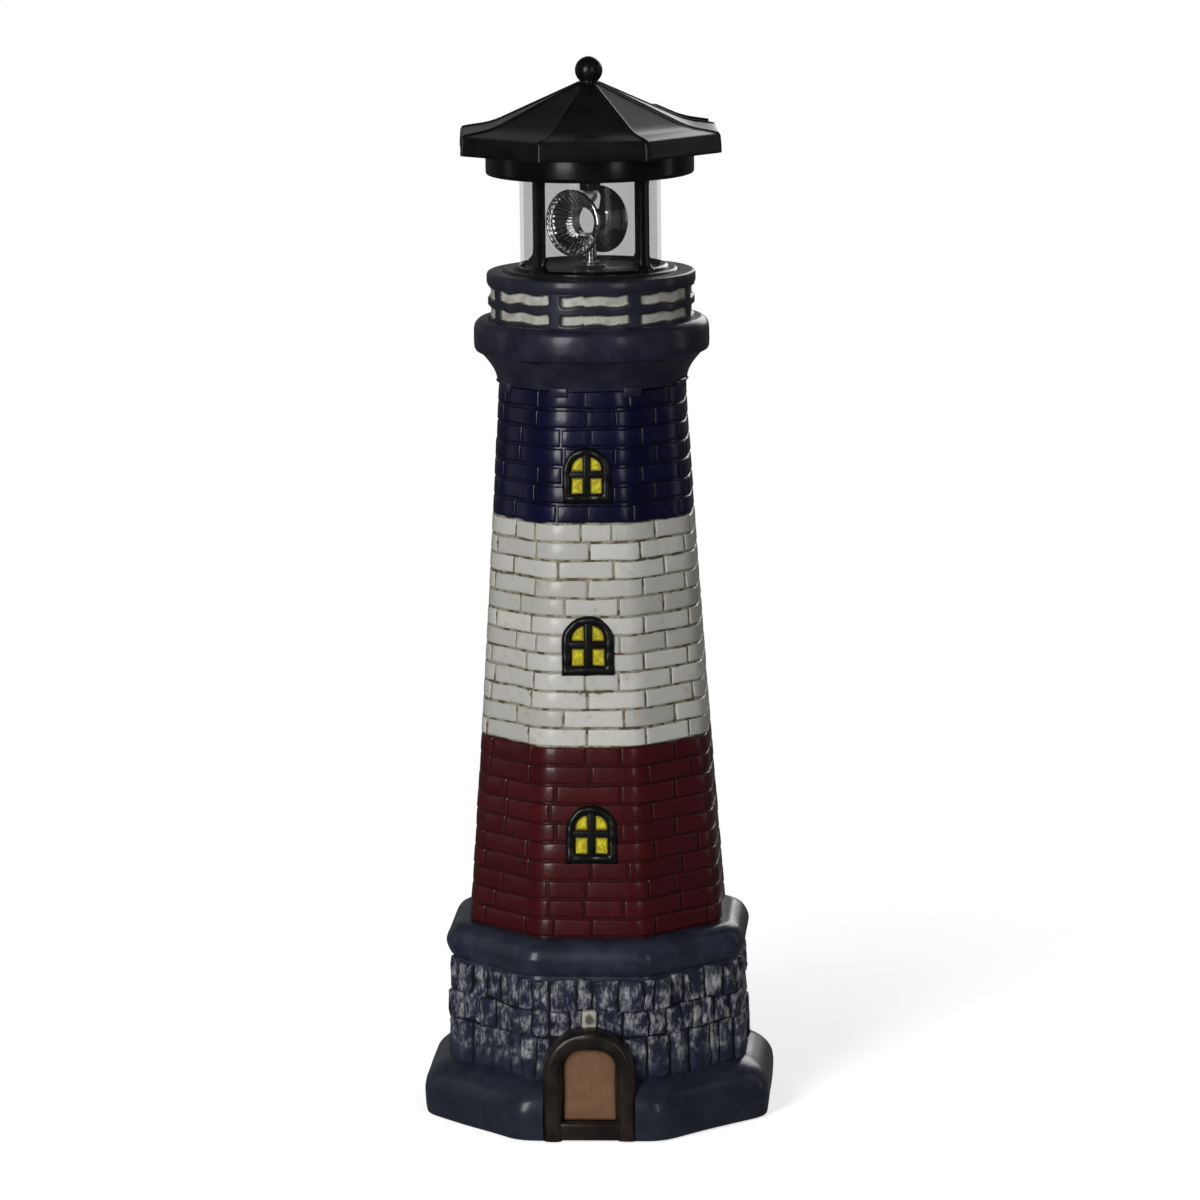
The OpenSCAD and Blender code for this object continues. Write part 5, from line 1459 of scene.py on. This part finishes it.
# %% Finial
BALL = CROWN + NECK + BALL_R * BALL_SINK
knob = [
    (0.4, CROWN - 2.9), (1.55, CROWN - 2.9), (1.6, CROWN - 2.7), (1.6, CROWN - 0.1), (3.45, CROWN - 0.05),
    (3.45, CROWN + 0.15), (3.2, CROWN + 0.4), (3.15, CROWN + 0.8)
]
start = math.asin(-0.68)
for i in range(23):
    a = start + (math.pi / 2 - 0.04 - start) * i / 22
    knob.append((BALL_R * math.cos(a), BALL + BALL_R * math.sin(a)))
finished(turned("finial_ball", knob, 64, loop=False), ROOF_BLACK, "head", "black_plastic", "finial")

# %% [markdown]
# ## Pieces whose solids are right as they are
#
# Screws, gears, motor, cell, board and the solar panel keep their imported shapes. Each
# gets its own finish: brushed steel, brass, milky gear plastic, green board lacquer,
# rubber, wire insulation and the blue-black cell with its silver fingers.

# %% Finishes for the inner parts
def metal(name, colour, rough, grain=0.05):
    finish = Finish(name)
    brushed = finish.cloud(0.5, 3.0, 0.6, finish.stretched(1.0, 1.0, 0.1))
    cloud = finish.cloud(4.0, 3.0)
    finish.set(
        Base_Color=finish.mix(cloud.rise(0.3, 0.7), tuple(c * 0.85 for c in colour), colour), Metallic=1.0,
        Roughness=brushed * 0.15 + rough, Normal=finish.bump(brushed, grain),
    )
    return finish.material


def plastic(name, colour, rough=0.5, peel=0.05):
    finish = Finish(name)
    cloud = finish.cloud(3.0, 4.0)
    finish.set(
        Base_Color=finish.mix(cloud.rise(0.35, 0.65), tuple(c * 0.82 for c in colour), colour),
        Roughness=(cloud - 0.5) * 0.2 + rough, Normal=finish.bump(finish.cloud(0.6), peel),
    )
    return finish.material


def cell_face():
    finish = Finish("solar_cell_face")
    turn = math.radians(HEAD_TURN + 45)
    across = finish.y * math.cos(turn) - finish.x * math.sin(turn)
    along = finish.x * math.cos(turn) + finish.y * math.sin(turn)
    fingers = (across + 0.1).saw(0.0013).rise(0.86, 0.90)
    bars = (along + 0.1).saw(0.0052).rise(0.91, 0.93)
    grains = finish.cells(2.4)
    blue = finish.mix(grains.rise(0.1, 0.7), (0.010, 0.018, 0.06), (0.022, 0.036, 0.11))
    finish.set(
        Base_Color=finish.mix(fingers.most(bars) * 0.7, blue, (0.42, 0.43, 0.45)),
        Roughness=grains * 0.06 + 0.12, Coat_Weight=finish.cloud(9.0) * 0.2 + 0.7, Coat_Roughness=0.04,
        Normal=finish.bump(finish.cloud(7.0, 2.0), 0.03),
    )
    return finish.material


def sleeve():
    finish = Finish("cell_sleeve")
    turn = math.radians(HEAD_TURN)
    along = finish.x * math.cos(turn) + finish.y * math.sin(turn)
    seam = (along + 0.1).saw(0.008).rise(0.06, 0.02)
    colour = drift(finish, (0.035, 0.17, 0.085), (0.05, 0.22, 0.11), 5.0)
    ends = along.most(along * -1.0).rise(0.0205, 0.0212)
    finish.set(
        Base_Color=finish.mix(ends, finish.mix(seam * 0.3, colour, (0.02, 0.09, 0.05)), (0.6, 0.6, 0.6)),
        Roughness=finish.cloud(2.0) * 0.1 + 0.25, Metallic=ends * 0.9,
        Normal=finish.bump(finish.cloud(3.0), 0.04),
    )
    return finish.material


def board_lacquer():
    finish = Finish("board_lacquer")
    lines = finish.cells(3.2, "DISTANCE_TO_EDGE").rise(0.10, 0.05)
    colour = finish.mix(lines * 0.6, (0.008, 0.075, 0.026), (0.02, 0.15, 0.055))
    finish.set(
        Base_Color=colour, Roughness=finish.cloud(2.0) * 0.15 + 0.3,
        Coat_Weight=finish.cloud(8.0) * 0.3 + 0.4, Normal=finish.bump(lines, 0.04),
    )
    return finish.material


def diode_lens():
    finish = Finish("diode_lens")
    cloud = finish.cloud(1.5, 2.0)
    finish.set(
        Base_Color=finish.mix(cloud.rise(0.3, 0.7), (0.93, 0.94, 0.95), (1.0, 1.0, 1.0)),
        Roughness=cloud * 0.08 + 0.06, Transmission_Weight=0.75, IOR=1.5, Normal=finish.bump(cloud, 0.03),
    )
    return finish.material


STEEL = metal("screw_steel", (0.56, 0.56, 0.57), 0.25)
FINISHES = {
    "pad_rubber": plastic("pad_rubber", (0.012, 0.012, 0.013), 0.8, 0.15),
    "grey_board": plastic("cover_board", (0.11, 0.11, 0.115), 0.75, 0.12),
    "inner_plastic": plastic("inner_plastic", (0.020, 0.020, 0.022), 0.5, 0.06),
    "black_plastic": BLACK,
    "steel": STEEL,
    "bright_steel": metal("spindle_chrome", (0.72, 0.72, 0.73), 0.08, 0.02),
    "brass": metal("bush_brass", (0.72, 0.50, 0.20), 0.22),
    "gear_plastic": plastic("gear_acetal", (0.72, 0.71, 0.66), 0.42, 0.04),
    "board_green": board_lacquer(),
    "cell_sleeve": sleeve(),
    "wire_red": plastic("wire_insulation", (0.32, 0.012, 0.012), 0.4, 0.04),
    "diode_lens": diode_lens(),
    "switch_white": plastic("switch_knob_white", (0.62, 0.62, 0.60), 0.45, 0.04),
    "cell_face": cell_face(),
}
carried = 0
for part in frame["record"]["subparts"]:
    solid = frame["nodes"][part["node"]]
    if not solid.hide_render:
        for holder in solid.material_slots:
            holder.material = FINISHES[part["material_slot"]]
        carried += 1
print(carried, "solids carried over with their own finishes")

# %% [markdown]
# ## Studio
#
# The ornament stands on a white floor that fades into a white surround. Only the
# camera, and what is seen through the tube, meet that full white. Gloss reflects a dim
# studio with a pale backdrop and five soft lamps: a strong and a weak one in front, one
# at each side and one behind. The dark paints stay dark between their highlights.

# %% Floor, surround and lamps
DIFFUSE_LEVEL, GLOSS_LEVEL, BACKDROP_LEVEL = 0.10, 0.08, 0.12


def flat_floor():
    mesh = bpy.data.meshes.new("studio_floor")
    mesh.from_pydata([(-1, -1, 0), (1, -1, 0), (1, 1, 0), (-1, 1, 0)], [], [(0, 1, 2, 3)])
    finish = Finish("studio_white")
    radius = finish.vector("LENGTH", finish.place, name=1)
    path = finish.node("ShaderNodeLightPath")
    camera_sees, glossy = finish.out(path, "Is Camera Ray"), finish.out(path, "Is Glossy Ray")
    white = finish.node(
        "ShaderNodeEmission", None, {"Color": (1.0, 1.0, 1.0), "Strength": camera_sees * 0.43 + 0.20}
    )
    clear = finish.node("ShaderNodeBsdfTransparent")
    finish.set(Base_Color=(0.88, 0.88, 0.88), Roughness=0.9, Specular_IOR_Level=0.0)
    lit = finish.node("ShaderNodeAddShader", None, {0: finish.out(finish.shader), 1: finish.out(white)})
    fade = radius.rise(0.10, 0.34).most(glossy * 0.94)
    mixed = finish.node("ShaderNodeMixShader", None, {0: fade, 1: finish.out(lit), 2: finish.out(clear)})
    finish.feed(finish.end.inputs["Surface"], finish.out(mixed))
    mesh.materials.append(finish.material)
    linked("studio_floor", mesh)


def lamp(name, place, size, power):
    """A soft lamp that points at the middle of the ornament."""
    data = bpy.data.lights.new(name, "AREA")
    data.shape, data.size, data.size_y, data.energy = "RECTANGLE", size[0], size[1], power
    light = linked(name, data)
    place, aim = Vector(place), Vector((0, 0, 0.18))
    facing = (aim - place).to_track_quat("-Z", "Y")
    light.matrix_world = Matrix.Translation(place) @ facing.to_matrix().to_4x4()


def surround_world():
    world = bpy.data.worlds.new("studio_white_surround")
    world.use_nodes = True
    nodes = Nodes(world.node_tree)
    nodes.tree.nodes.clear()
    path = nodes.node("ShaderNodeLightPath")
    seen = nodes.out(path, "Is Camera Ray").most(nodes.out(path, "Is Transmission Ray"))
    _, depth, height = nodes.parts(nodes.out(nodes.node("ShaderNodeTexCoord"), "Generated"))
    backdrop = depth.rise(0.1, 0.6) * height.rise(0.62, 0.45) * height.rise(-0.1, 0.05)
    gloss = backdrop * BACKDROP_LEVEL + GLOSS_LEVEL
    soft = nodes.out(path, "Is Glossy Ray") * (gloss - DIFFUSE_LEVEL) + DIFFUSE_LEVEL
    level = seen + (1.0 - seen) * soft
    light = nodes.node("ShaderNodeBackground", None, {"Color": (1.0, 1.0, 1.0), "Strength": level})
    nodes.node("ShaderNodeOutputWorld", None, {"Surface": nodes.out(light)})
    bpy.context.scene.world = world


flat_floor()
surround_world()
for name, place, size, power in (
    ("key", (-0.67, -1.49, 0.62), (0.5, 1.0), 25.5),
    ("fill", (0.88, -1.37, 0.55), (0.3, 0.9), 4.0),
    ("left", (-1.3, 0.15, 0.45), (0.25, 1.0), 0.5),
    ("right", (1.3, 0.25, 0.45), (0.25, 1.0), 0.8),
    ("back", (0.45, 1.6, 0.8), (0.8, 0.8), 8.0),
):
    lamp(name, place, size, power)
print("studio ready")
